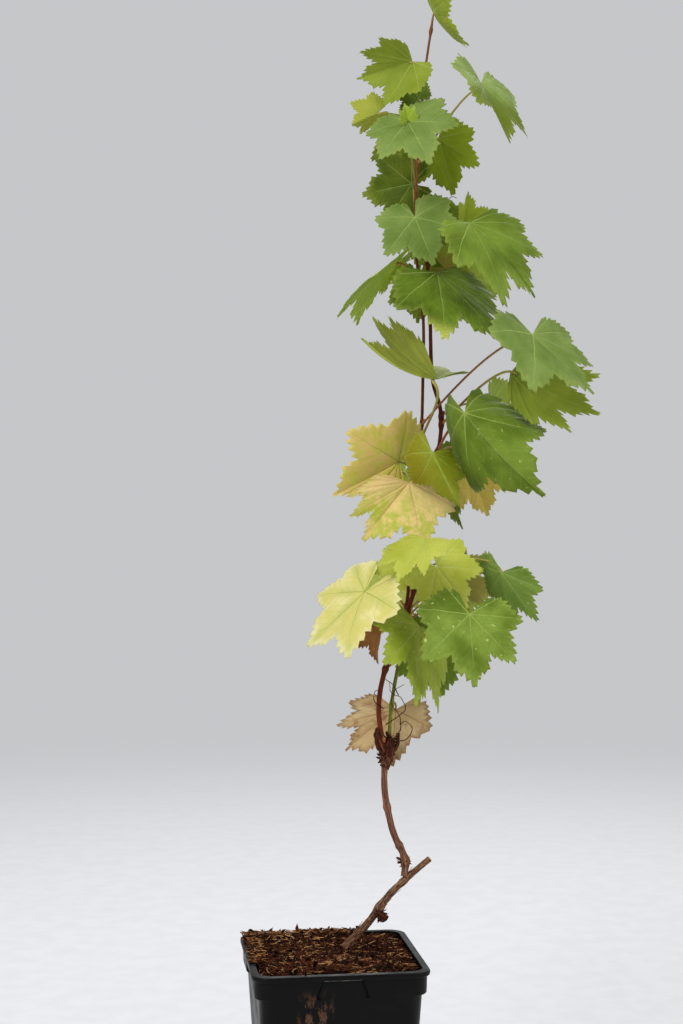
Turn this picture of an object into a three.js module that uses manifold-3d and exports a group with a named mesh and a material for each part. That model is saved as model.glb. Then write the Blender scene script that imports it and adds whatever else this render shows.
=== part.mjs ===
// A young grapevine in a square nursery pot. An old woody cutting leans out of the compost and
// carries a new stem, which forks at a thick knot into two long leafy shoots. Each leaf is one
// solid with its stalk, and its stalk meets its shoot 0.3 mm clear.
// Millimetres, +Z up. The origin is the middle of the pot's flat underside.
import * as THREE from "three";
import { mergeVertices } from "three/addons/utils/BufferGeometryUtils.js";
import Module from "manifold-3d";

const wasm = await Module();
wasm.setup();

// Driving dimensions of the pot and its compost
const potHeight = 200;
const rimSide = 150;
const baseSide = 115;
const wall = 1.8;
const floorThickness = 2.4;
const lipHeight = 4;
const lipOverhang = 2;
const bandDepth = 20;
const bandOverhang = 2.5;
const notchWidth = 33;
const notchTop = 5;
const notchDepth = 3.4;
const bandTaper = 1;
const cornerRadius = 14;
const cornerPoints = 4;
const drainHole = 9;
const drainSpacing = 62;
const drainSides = 10;
const soilLevel = 196;
const soilEdgeDrop = 3;
const heapHeight = 5;
const heapRings = [0.85, 0.62, 0.4, 0.16];
const heapLean = 0.35;
const heapLumps = 0.25;

// Driving dimensions of the vine. Its own frame has X to the right and Y away, as seen from the
// front, with Z up from the compost, and it stands turned on the pot by vineTurn.
const vineTurn = -7.7;
const gap = 0.3;
const leafClearance = 0.5;
const leafThickness = 1.2;
const stalkSides = 4;
const stalkSteps = 4;
const stalkFoot = 7;
const stalkOutward = 0.25;
const stalkRise = 0.22;
const stalkArrival = 0.3;
const stalkJoin = 0.07;
const thinnestStalk = 0.55;
const stalkGrowth = 0.008;
const depthStep = 3;
const mostDepthSteps = 10;
const nodeStep = 7;
const mostNodeSteps = 3;

// A limb is a route, with a radius at its foot and at its tip
const trunkLimb = {
  route: [[4, 28, -8], [14, 28, 4], [33, 26, 25], [49, 24, 47], [64, 23, 62], [86, 22, 81]],
  foot: 3.6, tip: 2.5, sides: 8, step: 12,
};
const stemLimb = {
  route: [[63, 22, 60], [64, 24, 81], [54, 22, 104], [47, 18, 135], [46, 16, 159], [48, 16, 175]],
  foot: 3, tip: 2.6, sides: 8, step: 12,
};
const longShoot = {
  route: [[49, 17, 172], [53, 24, 220], [62, 26, 273], [71, 25, 353], [78, 21, 445], [80, 20, 508],
    [80, 20, 560], [73, 18, 625], [75, 15, 690], [80, 11, 760], [88, 6, 818]],
  foot: 1.7, tip: 1.0, sides: 6, step: 18,
};
const redShoot = {
  route: [[47, 16, 172], [41, 13, 212], [47, 12, 250], [70, 10, 312], [83, 14, 380], [96, 18, 463],
    [88, 17, 505], [86, 15, 560], [84, 15, 620], [91, 15, 652], [97, 12, 659]],
  foot: 2.3, tip: 1.4, sides: 6, step: 18,
};
const deadStub = {
  route: [[50, 17, 172], [57, 19, 181], [58, 19, 192]],
  foot: 1.9, tip: 1.5, sides: 6, step: 8,
};
const knots = {
  trunk: { centre: [43, 25, 37], radius: 5 },
  stem: { centre: [47, 16, 172], radius: 7 },
  shootFoot: { centre: [64, 24, 78], radius: 4.4 },
};
const sideStub = {
  route: [[40, 25, 34], [44, 22, 31], [48, 20, 27]],
  foot: 3.2, tip: 2.6, sides: 6, step: 6,
};
const knotStretch = 1.15;
const footFlare = 1.35;
const flarePoints = 3;
const trunkFoot = [13, 28, 0];

// Half of a leaf's outline: degrees from the middle vein, and reach as a share of the leaf's size
const halfOutline = [
  [0, 1.0], [10, 0.83], [18, 0.81], [28, 0.62], [40, 0.79], [50, 0.92], [62, 0.77], [77, 0.61],
  [89, 0.68], [101, 0.72], [117, 0.58], [137, 0.5], [158, 0.34],
];
const innerRing = 0.55;
const waveHeight = 0.035;
const waveTurns = 3;

// Each leaf: its name, its shoot and the height of its node there, the joint of blade and stalk
// [x, y, z], the way its tip points (clock, degrees from straight up towards the right), how far
// the tip leans to the front, its roll about the middle vein, its size from joint to tip, how far
// its left and right halves fold up, how far its tip and its edges bend down, in degrees, and how
// far its left and right halves spread round the joint, as a share of the whole outline's half.
const leafList = [
  ["leaf_top", "long", 806, [87, -4, 819], 154, 30, 73, 50, [16, -27], [31, 21], [1.07, 0.87]],
  ["leaf_top_left", "long", 755, [69, -25, 771], -101, -27, 169, 51, [-30, -26], [16, 38], [0.64, 1.02]],
  ["leaf_top_right", "long", 692, [126, -42, 748], 158, 27, -34, 66, [-6, 45], [6, 45], [0.90, 0.85]],
  ["leaf_top_front", "long", 667, [64, -45, 715], 156, 40, 0, 51, [12, 12], [20, 25], [1, 1]],
  ["leaf_young_left", "long", 724, [40, 0, 733], -115, 10, 150, 27, [45, 45], [15, 20], [1, 1]],
  ["leaf_young_top", "long", 738, [75, -14, 741], -72, 20, 20, 26, [15, 15], [20, 20], [1, 1]],
  ["leaf_right_back", "long", 704, [94, 35, 718], 160, -20, -160, 51, [-10, -10], [20, 20], [0.9, 0.9]],
  ["leaf_left_back", "long", 655, [70, 25, 676], -98, -15, 0, 48, [10, 10], [20, 25], [1, 1]],
  ["leaf_collar", "long", 622, [71, -25, 638], 160, 25, 0, 47, [10, 10], [20, 25], [1, 1.1]],
  ["leaf_right_upper", "red", 620, [117, -45, 630], 134, 23, -14, 85, [-13, 49], [57, 54], [0.61, 0.65]],
  ["leaf_right_young", "red", 642, [114, -4, 636], 10, 10, 40, 28, [35, 35], [10, 10], [1, 1]],
  ["leaf_centre", "red", 572, [90, -26, 591], 138, 24, -33, 91, [-18, 14], [7, 26], [0.62, 0.74]],
  ["leaf_left_hanging", "long", 590, [59, 4, 607], -129, -26, 49, 79, [46, -38], [32, 13], [0.95, 0.72]],
  ["leaf_patched", "red", 585, [99, 8, 601], 120, 10, 20, 34, [25, 25], [20, 15], [1, 1]],
  ["leaf_shaded", "red", 606, [100, 28, 628], 105, -10, 10, 46, [10, 10], [20, 25], [1, 1]],
  ["leaf_right_middle", "long", 463, [168, -55, 535], 135, 4, -32, 71, [-5, 31], [6, 40], [0.65, 1.17]],
  ["leaf_right_under", "red", 463, [153, -20, 506], 120, 0, 150, 84, [-10, -10], [15, 20], [0.5, 0.5]],
  ["leaf_left_edge", "long", 447, [89, -46, 498], -83, -43, 81, 97, [71, 14], [-36, 33], [0.51, 0.59]],
  ["leaf_bright", "red", 440, [111, -60, 469], 149, 37, 24, 102, [-49, -27], [60, 58], [0.95, 1.10]],
  ["leaf_yellow", "long", 418, [58, 0, 430], -120, 10, -25, 64, [20, 15], [15, 20], [0.5, 1.2]],
  ["leaf_mid_front", "red", 416, [84, -58, 436], 154, 8, 5, 54, [-49, -36], [51, 33], [0.60, 1.18]],
  ["leaf_mottled", "long", 388, [66, -38, 412], -141, 15, 0, 64, [10, 20], [20, 25], [1, 0.42]],
  ["leaf_mottled_fold", "red", 397, [104, -22, 412], 175, 0, 70, 42, [20, 20], [20, 15], [1, 1]],
  ["leaf_mid_back", "red", 438, [120, 8, 430], 158, -10, 0, 54, [10, 10], [20, 20], [0.8, 0.7]],
  ["leaf_lime", "red", 345, [79, -60, 364], -133, 40, 48, 51, [18, 1], [25, 34], [0.60, 0.68]],
  ["leaf_lime_right", "red", 318, [89, -32, 340], 142, 15, -10, 44, [12, 12], [20, 25], [1, 1]],
  ["leaf_olive", "red", 300, [104, 5, 328], 112, -10, 0, 42, [10, 10], [20, 25], [1, 1]],
  ["leaf_lime_small", "long", 322, [62, -20, 343], -160, 20, 0, 30, [12, 12], [20, 20], [1, 1]],
  ["leaf_pale", "long", 290, [28, -35, 319], -131, -8, 22, 70, [47, -27], [10, 42], [1.07, 0.93]],
  ["leaf_low_left", "red", 262, [75, -28, 289], -176, 43, -39, 82, [-4, 16], [5, 53], [0.68, 0.65]],
  ["leaf_star", "red", 285, [114, -72, 302], 176, 15, 0, 60, [8, 8], [20, 20], [0.8, 1]],
  ["leaf_low_right", "red", 331, [143, -45, 336], 170, -18, 18, 54, [24, -44], [15, 14], [0.71, 0.87]],
  ["leaf_low_back", "red", 248, [92, 6, 277], 175, 5, 10, 54, [10, 10], [20, 20], [1, 1]],
  ["leaf_dried", "long", 216, [57, 50, 209], -127, 0, 20, 58, [25, 35], [15, 10], [1.1, 0.5]],
  ["leaf_dried_curl", "long", 258, [44, -2, 286], -160, 10, 60, 32, [35, 35], [30, 10], [1, 1]],
  ["leaf_back_top", "long", 715, [66, 52, 724], -165, -25, 150, 42, [12, 12], [20, 25], [1, 1]],
  ["leaf_back_upper", "long", 640, [80, 60, 655], 178, -20, 215, 50, [12, 12], [20, 25], [1, 1]],
  ["leaf_back_high", "red", 575, [116, 62, 606], 165, -20, 145, 56, [12, 12], [20, 25], [1, 1]],
  ["leaf_back_right", "red", 470, [142, 50, 483], 160, -20, 135, 50, [12, 12], [20, 25], [1, 1]],
  ["leaf_back_middle", "long", 560, [78, 60, 598], 178, -20, 200, 40, [12, 12], [20, 25], [1, 1]],
  ["leaf_back_left", "long", 400, [66, 62, 424], -165, -20, 222, 50, [12, 12], [20, 25], [1, 1]],
  ["leaf_back_centre", "red", 436, [120, 62, 440], 160, -20, 150, 52, [12, 12], [20, 25], [1, 1]],
  ["leaf_back_low", "long", 300, [52, 58, 318], -165, -20, 220, 50, [12, 12], [20, 25], [1, 1]],
  ["leaf_back_low_right", "red", 290, [108, 58, 318], 160, -20, 138, 56, [12, 12], [20, 25], [1, 1]],
];

// Materials, one for each kind of sub-part
const potPlastic = new THREE.MeshStandardMaterial({ color: 0x17181a, roughness: 0.45, metalness: 0 });
const compost = new THREE.MeshStandardMaterial({ color: 0x5b3f2c, roughness: 0.95, metalness: 0 });
const oldBark = new THREE.MeshStandardMaterial({ color: 0x8a7358, roughness: 0.9, metalness: 0 });
const redBark = new THREE.MeshStandardMaterial({ color: 0x6b2d1c, roughness: 0.6, metalness: 0 });
const greenBark = new THREE.MeshStandardMaterial({ color: 0x7d5a35, roughness: 0.6, metalness: 0 });
const blade = new THREE.MeshStandardMaterial({ color: 0x6f9441, roughness: 0.5, metalness: 0 });
const paleBlade = new THREE.MeshStandardMaterial({ color: 0xb9bd62, roughness: 0.55, metalness: 0 });
const driedBlade = new THREE.MeshStandardMaterial({ color: 0xa88f6a, roughness: 0.85, metalness: 0 });
const paleLeaves = [
  "leaf_yellow", "leaf_pale", "leaf_mottled", "leaf_lime", "leaf_lime_small", "leaf_left_hanging",
];

const radians = THREE.MathUtils.degToRad;
const vector = (point) => new THREE.Vector3(...point);

// A closed three.js geometry as a solid, and a solid as a geometry
function toSolid(geometry) {
  const bare = geometry.clone();
  bare.deleteAttribute("normal");
  bare.deleteAttribute("uv");
  const merged = mergeVertices(bare);
  const vertProperties = new Float32Array(merged.attributes.position.array);
  const triVerts = new Uint32Array(merged.index.array);
  return new wasm.Manifold(new wasm.Mesh({ numProp: 3, vertProperties, triVerts }));
}

function toGeometry(solid) {
  const mesh = solid.getMesh();
  const geometry = new THREE.BufferGeometry();
  geometry.setAttribute("position", new THREE.BufferAttribute(mesh.vertProperties, mesh.numProp));
  geometry.setIndex(new THREE.BufferAttribute(mesh.triVerts, 1));
  geometry.computeVertexNormals();
  return geometry;
}

// A closed geometry from points and faces given as lists of corners
function closedGeometry(points, faces) {
  const geometry = new THREE.BufferGeometry().setFromPoints(points);
  const fan = (face) => face.slice(2).flatMap((last, i) => [face[0], face[i + 1], last]);
  geometry.setIndex(faces.flatMap(fan));
  return geometry;
}

// Rings of points joined one after the other, with a fan of triangles closing each end
function loft(rings) {
  const count = rings[0].length;
  const points = rings.flat();
  const faces = [];
  for (let ring = 0; ring < rings.length - 1; ring += 1) {
    for (let i = 0; i < count; i += 1) {
      const next = (i + 1) % count;
      const low = ring * count;
      const high = low + count;
      faces.push([low + i, low + next, high + next, high + i]);
    }
  }
  const sumOf = (ring) => ring.reduce((sum, point) => sum.add(point), new THREE.Vector3());
  const middle = (ring) => sumOf(ring).divideScalar(count);
  const foot = points.length;
  points.push(middle(rings[0]), middle(rings.at(-1)));
  const top = (rings.length - 1) * count;
  for (let i = 0; i < count; i += 1) {
    const next = (i + 1) % count;
    faces.push([foot, next, i], [foot + 1, top + i, top + next]);
  }
  return toSolid(closedGeometry(points, faces));
}

// A level square with rounded corners, counted anticlockwise from above
function squareRing(side, height, radius = cornerRadius) {
  const reach = side / 2 - radius;
  const ring = [];
  for (let corner = 0; corner < 4; corner += 1) {
    for (let i = 0; i < cornerPoints; i += 1) {
      const angle = Math.PI / 2 * (corner + i / (cornerPoints - 1));
      const middle = Math.PI / 2 * corner + Math.PI / 4;
      const x = Math.SQRT2 * reach * Math.cos(middle) + radius * Math.cos(angle);
      const y = Math.SQRT2 * reach * Math.sin(middle) + radius * Math.sin(angle);
      ring.push(new THREE.Vector3(x, y, height));
    }
  }
  return ring;
}

function box(width, depth, height, x, y, z) {
  return toSolid(new THREE.BoxGeometry(width, depth, height).translate(x, y, z));
}

// The pot: tapering walls, a deeper band and a rolled lip at the top, and drain holes in the floor
const bandBottom = potHeight - bandDepth;
const bandSide = rimSide - 2 * lipOverhang;
const wallSideAt = (height) => baseSide + (bandSide - 2 * bandOverhang - baseSide) * height / potHeight;

function makePot() {
  let pot = loft([squareRing(baseSide, 0), squareRing(wallSideAt(potHeight), potHeight)]);
  let band = loft([squareRing(bandSide - bandTaper, bandBottom), squareRing(bandSide, potHeight)]);
  const notchHeight = bandDepth - notchTop;
  const cutterDepth = 4 * bandOverhang;
  const out = (bandSide + cutterDepth) / 2 - notchDepth;
  for (const [x, y] of [[0, -1], [1, 0], [0, 1], [-1, 0]]) {
    const width = x ? cutterDepth : notchWidth;
    const depth = y ? cutterDepth : notchWidth;
    band = band.subtract(box(width, depth, notchHeight * 2, x * out, y * out, bandBottom));
  }
  const lip = loft([
    squareRing(bandSide - bandTaper, potHeight - lipHeight - bandTaper),
    squareRing(rimSide, potHeight - lipHeight),
    squareRing(rimSide, potHeight),
  ]);
  pot = pot.add(band).add(lip);
  pot = pot.subtract(loft([
    squareRing(baseSide - 2 * wall, floorThickness, cornerRadius - wall),
    squareRing(wallSideAt(potHeight) - 2 * wall, potHeight, cornerRadius - wall),
    squareRing(wallSideAt(potHeight) - 2 * wall, potHeight + 1, cornerRadius - wall),
  ]));
  for (const [x, y] of [[-1, -1], [1, -1], [1, 1], [-1, 1]]) {
    const radius = drainHole / 2;
    const hole = new THREE.CylinderGeometry(radius, radius, 4 * floorThickness, drainSides);
    hole.rotateX(Math.PI / 2).translate(x * drainSpacing / 2, y * drainSpacing / 2, 0);
    pot = pot.subtract(toSolid(hole));
  }
  return pot;
}

// The route of a limb as a smooth curve, and the point on it at a given height
function curveOf(limb) {
  return new THREE.CatmullRomCurve3(limb.route.map(vector), false, "catmullrom", 0.5);
}

function pointAtHeight(limb, height) {
  const curve = curveOf(limb);
  let low = 0;
  let high = 1;
  for (let i = 0; i < 30; i += 1) {
    const half = (low + high) / 2;
    if (curve.getPoint(half).z < height) low = half;
    else high = half;
  }
  return curve.getPoint(low);
}

// A round limb along a curve, with its radius worked out at each step
function tube(curve, radiusAt, sides, steps) {
  const frames = curve.computeFrenetFrames(steps, false);
  const rings = [];
  for (let i = 0; i <= steps; i += 1) {
    const middle = curve.getPointAt(i / steps);
    const ring = [];
    for (let k = 0; k < sides; k += 1) {
      const angle = 2 * Math.PI * k / sides;
      const out = frames.normals[i].clone().multiplyScalar(Math.cos(angle));
      out.addScaledVector(frames.binormals[i], Math.sin(angle));
      ring.push(middle.clone().addScaledVector(out, radiusAt(i / steps)));
    }
    rings.push(ring);
  }
  return loft(rings);
}

function limbSolid(limb, extra = 0) {
  const curve = curveOf(limb);
  const steps = Math.max(2, Math.round(curve.getLength() / limb.step));
  const radiusAt = (share) => limb.foot + (limb.tip - limb.foot) * share + extra;
  return tube(curve, radiusAt, limb.sides, steps);
}

function knotSolid(knot, extra = 0) {
  const ball = new THREE.IcosahedronGeometry(knot.radius + extra, 1);
  return toSolid(ball.scale(1, 1, knotStretch).translate(...knot.centre));
}

// The old cutting: flared where it leaves the compost, cut flat there, with a knot and a side stub
function makeTrunk(extra = 0) {
  const flare = {
    ...trunkLimb,
    foot: trunkLimb.foot * footFlare,
    tip: trunkLimb.foot,
    route: trunkLimb.route.slice(0, flarePoints),
  };
  const whole = limbSolid(trunkLimb, extra).add(limbSolid(flare, extra));
  const knotted = whole.add(knotSolid(knots.trunk, extra)).add(limbSolid(sideStub, extra));
  const cutLevel = gap - extra;
  return knotted.subtract(box(rimSide, rimSide, potHeight, 0, 0, cutLevel - potHeight / 2));
}

function makeStem(extra = 0) {
  const whole = limbSolid(stemLimb, extra).add(knotSolid(knots.stem, extra));
  return whole.add(knotSolid(knots.shootFoot, extra));
}

// The leaf's own axes: across to its right, along the middle vein, and out of its upper face
function leafAxes(leaf) {
  const along = new THREE.Vector3(
    Math.sin(leaf.clock) * Math.cos(leaf.lean),
    -Math.sin(leaf.lean),
    Math.cos(leaf.clock) * Math.cos(leaf.lean),
  );
  const front = new THREE.Vector3(0, -1, 0);
  const facing = front.addScaledVector(along, -front.dot(along)).normalize();
  const side = along.clone().cross(facing);
  const up = facing.clone().multiplyScalar(Math.cos(leaf.roll)).addScaledVector(side, Math.sin(leaf.roll));
  const across = side.multiplyScalar(Math.cos(leaf.roll)).addScaledVector(facing, -Math.sin(leaf.roll));
  return { across, along, up };
}

// A point of the leaf from its place on the flat blade and its height over it. Each half rises
// from the middle vein and bends down towards its edge, and the whole blade bends down to its tip.
function leafPoint(leaf, axes, x, y, height) {
  const fold = x < 0 ? leaf.foldLeft : leaf.foldRight;
  const distance = Math.abs(x);
  const curve = leaf.edgeBend / leaf.size;
  const angle = fold - curve * distance;
  const radius = 1 / curve;
  const side = Math.sign(x) * (radius * (Math.sin(fold) - Math.sin(angle)) - height * Math.sin(angle));
  const rise = radius * (Math.cos(angle) - Math.cos(fold)) + height * Math.cos(angle);
  const tipRadius = leaf.size / leaf.tipBend;
  const turn = y / tipRadius;
  const forward = (tipRadius + rise) * Math.sin(turn);
  const lift = (tipRadius + rise) * Math.cos(turn) - tipRadius;
  const point = leaf.joint.clone().addScaledVector(axes.across, side);
  return point.addScaledVector(axes.along, forward).addScaledVector(axes.up, lift);
}

// The blade: two skins of the toothed outline with a ring between joint and edge, closed by a rim
function bladeSolid(leaf, thickness) {
  const axes = leafAxes(leaf);
  const spoke = (share) => ([angle, reach]) => [radians(angle) * share, reach * leaf.size];
  const half = (share) => halfOutline.map(spoke(share));
  const outline = [...half(-leaf.spread[0]).slice(1).reverse(), ...half(leaf.spread[1])];
  const points = [];
  const place = (angle, distance, height) => {
    const wave = waveHeight * distance * Math.sin(waveTurns * angle + leaf.joint.z);
    const x = distance * Math.sin(angle);
    const y = distance * Math.cos(angle);
    points.push(leafPoint(leaf, axes, x, y, wave + height));
  };
  for (const height of [thickness / 2, -thickness / 2]) {
    place(0, 0, height);
    outline.forEach(([angle, reach]) => place(angle, innerRing * reach, height));
    outline.forEach(([angle, reach]) => place(angle, reach, height));
  }
  const count = outline.length;
  const lower = 2 * count + 1;
  const faces = [];
  for (let i = 1; i < count; i += 1) {
    faces.push([0, i + 1, i], [lower, lower + i, lower + i + 1]);
    const outer = i + count;
    faces.push([i, i + 1, outer + 1, outer]);
    faces.push([lower + i, lower + outer, lower + outer + 1, lower + i + 1]);
  }
  const rim = [0, 1];
  for (let i = 1; i <= count; i += 1) rim.push(count + i);
  rim.push(count);
  rim.forEach((from, i) => {
    const to = rim[(i + 1) % rim.length];
    faces.push([from, to, lower + to, lower + from]);
  });
  return toSolid(closedGeometry(points, faces));
}

// The stalk: from the middle of its shoot up to the joint, arriving from under the blade
function stalkCurve(leaf) {
  const axes = leafAxes(leaf);
  const foot = pointAtHeight(shoots[leaf.on], leaf.at);
  const outward = leaf.joint.clone().sub(foot).setZ(0).normalize();
  const length = leaf.joint.distanceTo(foot);
  const first = foot.clone().addScaledVector(outward, stalkOutward * length);
  first.z += stalkRise * length;
  const arrival = axes.along.clone().add(axes.up).divideScalar(2);
  const last = leaf.joint.clone().addScaledVector(arrival, -stalkArrival * length);
  const end = leafPoint(leaf, axes, 0, stalkJoin * leaf.size, 0);
  return new THREE.CubicBezierCurve3(foot, first, last, end);
}

function stalkSolid(leaf, extra, from = 0) {
  const whole = stalkCurve(leaf);
  const pointOf = (_, i) => whole.getPoint(from + (1 - from) * i / stalkSteps);
  const part = new THREE.CatmullRomCurve3(Array.from({ length: stalkSteps + 1 }, pointOf));
  const radius = thinnestStalk + stalkGrowth * leaf.size;
  return tube(part, () => radius + extra, stalkSides, stalkSteps);
}

const shoots = { long: longShoot, red: redShoot };

function readLeaf(row) {
  const [name, on, at, joint, clock, lean, roll, size, folds, bends, spread] = row;
  const [foldLeft, foldRight] = folds;
  const [tipBend, edgeBend] = bends;
  const angles = { clock, lean, roll, foldLeft, foldRight, tipBend, edgeBend };
  for (const key of Object.keys(angles)) angles[key] = radians(angles[key]);
  return { name, on, at, joint: vector(joint), size, spread, ...angles };
}

// The vine's solids by name, in the vine's own frame
const solids = new Map();
const cutter = {};
solids.set("trunk", makeTrunk());
solids.set("stem", makeStem().subtract(makeTrunk(gap)));
const joinCutter = makeStem(gap);
solids.set("shoot_long", limbSolid(longShoot).subtract(joinCutter));
solids.set("shoot_red", limbSolid(redShoot).subtract(joinCutter));
solids.set("shoot_stub", limbSolid(deadStub).subtract(joinCutter));
cutter.long = limbSolid(longShoot, gap);
cutter.red = limbSolid(redShoot, gap);

// Each leaf goes to the first place, from its own one outwards, where it clears all that is placed:
// a place is a shift of the whole leaf in depth, and of its node along the shoot
const places = [];
for (let i = -mostDepthSteps; i <= mostDepthSteps; i += 1) {
  for (let k = -mostNodeSteps; k <= mostNodeSteps; k += 1) places.push([i * depthStep, k * nodeStep]);
}
places.sort((one, other) => Math.hypot(...one) - Math.hypot(...other));

function touches(solid) {
  const own = solid.boundingBox();
  return [...solids.values()].some((other) => {
    const box = other.boundingBox();
    const beside = (axis) => own.min[axis] > box.max[axis] || own.max[axis] < box.min[axis];
    return ![0, 1, 2].some(beside) && !solid.intersect(other).isEmpty();
  });
}

for (const row of leafList) {
  const leaf = readLeaf(row);
  const own = { depth: leaf.joint.y, at: leaf.at };
  const move = ([depth, node]) => {
    leaf.joint.y = own.depth + depth;
    leaf.at = own.at + node;
  };
  const clear = places.find((place) => {
    move(place);
    const fat = bladeSolid(leaf, leafThickness + 2 * leafClearance);
    return !touches(fat.add(stalkSolid(leaf, leafClearance, stalkFoot / stalkCurve(leaf).getLength())));
  });
  move(clear ?? [0, 0]);
  const whole = bladeSolid(leaf, leafThickness).add(stalkSolid(leaf, 0));
  solids.set(leaf.name, whole.subtract(cutter[leaf.on]));
}

// The compost fills the pot from its floor, and its top runs from the cutting's foot to the walls
const vine = new THREE.Group();
vine.rotation.z = radians(vineTurn);
vine.position.z = soilLevel;
vine.updateMatrixWorld(true);

function makeSoil() {
  const inner = (height) => wallSideAt(height) - 2 * wall - 2 * gap;
  const ring = (height) => squareRing(inner(height), height, cornerRadius - wall - gap);
  const foot = vector(trunkFoot).applyMatrix4(vine.matrixWorld);
  const rings = [ring(floorThickness + gap), ring(soilLevel - soilEdgeDrop)];
  const edge = rings.at(-1);
  const heapOver = (place, share, i) => {
    if (share === heapRings.at(-1)) return 0;
    const lump = heapLumps * Math.sin(5 * i + 9 * share);
    return heapHeight * (heapLean - place.x / rimSide + lump);
  };
  for (const share of heapRings) {
    rings.push(edge.map((point, i) => {
      const place = foot.clone().lerp(point, share);
      return place.setZ(soilLevel + heapOver(place, share, i));
    }));
  }
  return loft(rings);
}

const model = new THREE.Group();

function addMesh(parent, name, solid, material) {
  const mesh = new THREE.Mesh(toGeometry(solid), material);
  mesh.name = name;
  parent.add(mesh);
}

function materialOf(name) {
  if (name === "trunk" || name === "stem") return oldBark;
  if (name === "shoot_long") return greenBark;
  if (name === "shoot_red" || name === "shoot_stub") return redBark;
  if (name.startsWith("leaf_dried")) return driedBlade;
  return paleLeaves.includes(name) ? paleBlade : blade;
}

const trunkHole = toSolid(toGeometry(makeTrunk(gap)).applyMatrix4(vine.matrixWorld));
addMesh(model, "pot", makePot(), potPlastic);
addMesh(model, "soil", makeSoil().subtract(trunkHole), compost);
for (const [name, solid] of solids) addMesh(vine, name, solid, materialOf(name));
model.add(vine);

export default model;
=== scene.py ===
# A young grapevine in a square nursery pot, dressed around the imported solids.
# Lengths of the vine are in millimetres in its own frame (X right, Y away, Z up from the compost),
# as in the part's source, and are turned into the row's frame in metres where a mesh is made.
# The pot and the compost are in millimetres in the row's frame.
import math

import bmesh
import bpy
import numpy as np
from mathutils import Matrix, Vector, noise


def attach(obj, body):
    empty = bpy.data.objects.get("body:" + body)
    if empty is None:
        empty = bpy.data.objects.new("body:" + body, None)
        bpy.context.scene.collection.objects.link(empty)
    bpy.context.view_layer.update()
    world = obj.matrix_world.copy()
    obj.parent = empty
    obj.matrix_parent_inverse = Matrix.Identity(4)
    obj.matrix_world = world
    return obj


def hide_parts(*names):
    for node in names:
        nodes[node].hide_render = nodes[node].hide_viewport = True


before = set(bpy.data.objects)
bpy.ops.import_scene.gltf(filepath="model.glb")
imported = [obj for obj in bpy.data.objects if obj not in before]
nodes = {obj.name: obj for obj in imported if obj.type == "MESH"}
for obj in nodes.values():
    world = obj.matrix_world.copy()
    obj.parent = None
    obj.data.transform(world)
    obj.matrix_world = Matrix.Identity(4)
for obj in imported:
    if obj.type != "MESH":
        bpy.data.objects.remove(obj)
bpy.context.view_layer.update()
MILLIMETRE = 0.001

# The pot, the compost and the vine's frame, as in the part's source
POT_HEIGHT = 200
RIM_SIDE = 150
BASE_SIDE = 115
WALL = 1.8
FLOOR_THICKNESS = 2.4
LIP_HEIGHT = 4
LIP_OVERHANG = 2
BAND_DEPTH = 20
BAND_OVERHANG = 2.5
BAND_TAPER = 1
NOTCH_WIDTH = 33
NOTCH_TOP = 5
NOTCH_DEPTH = 3.4
CORNER_RADIUS = 14
DRAIN_HOLE = 9
DRAIN_SPACING = 62
SOIL_LEVEL = 196
SOIL_EDGE_DROP = 3
HEAP_HEIGHT = 5
HEAP_LEAN = 0.35
VINE_TURN = -7.7

# The limbs, as in the part's source: a route, with a radius at its foot and at its tip
TRUNK = {
    "route": [[4, 28, -8], [14, 28, 4], [33, 26, 25], [49, 24, 47], [64, 23, 62], [86, 22, 81]],
    "foot": 3.6, "tip": 2.5,
}
STEM = {
    "route": [[63, 22, 60], [64, 24, 81], [54, 22, 104], [47, 18, 135], [46, 16, 159], [48, 16, 175]],
    "foot": 3, "tip": 2.6,
}
LONG_SHOOT = {
    "route": [[49, 17, 172], [53, 24, 220], [62, 26, 273], [71, 25, 353], [78, 21, 445], [80, 20, 508],
              [80, 20, 560], [73, 18, 625], [75, 15, 690], [80, 11, 760], [88, 6, 818]],
    "foot": 1.7, "tip": 1.0,
}
RED_SHOOT = {
    "route": [[47, 16, 172], [41, 13, 212], [47, 12, 250], [70, 10, 312], [83, 14, 380], [96, 18, 463],
              [88, 17, 505], [86, 15, 560], [84, 15, 620], [91, 15, 652], [97, 12, 659]],
    "foot": 2.3, "tip": 1.4,
}
SHOOTS = {"long": LONG_SHOOT, "red": RED_SHOOT}
DEAD_STUB = {"route": [[50, 17, 172], [57, 19, 181], [58, 19, 192]], "foot": 1.9, "tip": 1.5}
SIDE_STUB = {"route": [[40, 25, 34], [44, 22, 31], [48, 20, 27]], "foot": 3.2, "tip": 2.6}
TRUNK_FOOT = [13, 28, 0]
FOOT_FLARE = 1.35
STEM_KNOT = [47, 16, 172]
STEM_FOOT_KNOT = [64, 24, 78]

# Swellings of the limbs: the height of each, its extra radius and its reach along the limb
TRUNK_SWELLINGS = [(37, 1.2, 5), (60, 0.5, 4)]
STEM_SWELLINGS = [(STEM_FOOT_KNOT[2], 1.6, 4.5), (92, 0.8, 2.5), (126, 0.7, 3), (STEM_KNOT[2] - 1, 3.4, 5.5)]

# The old knot's own route, and the arm that forks off to its left
KNOT_ROUTE = [[47, 16, 160], [47, 16, 167], [48, 16, 175], [50, 17, 184], [50, 17, 190]]
KNOT_ARM_ROUTE = [[47, 15, 174], [43, 14, 182], [41, 14, 190], [41, 14, 198]]

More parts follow.
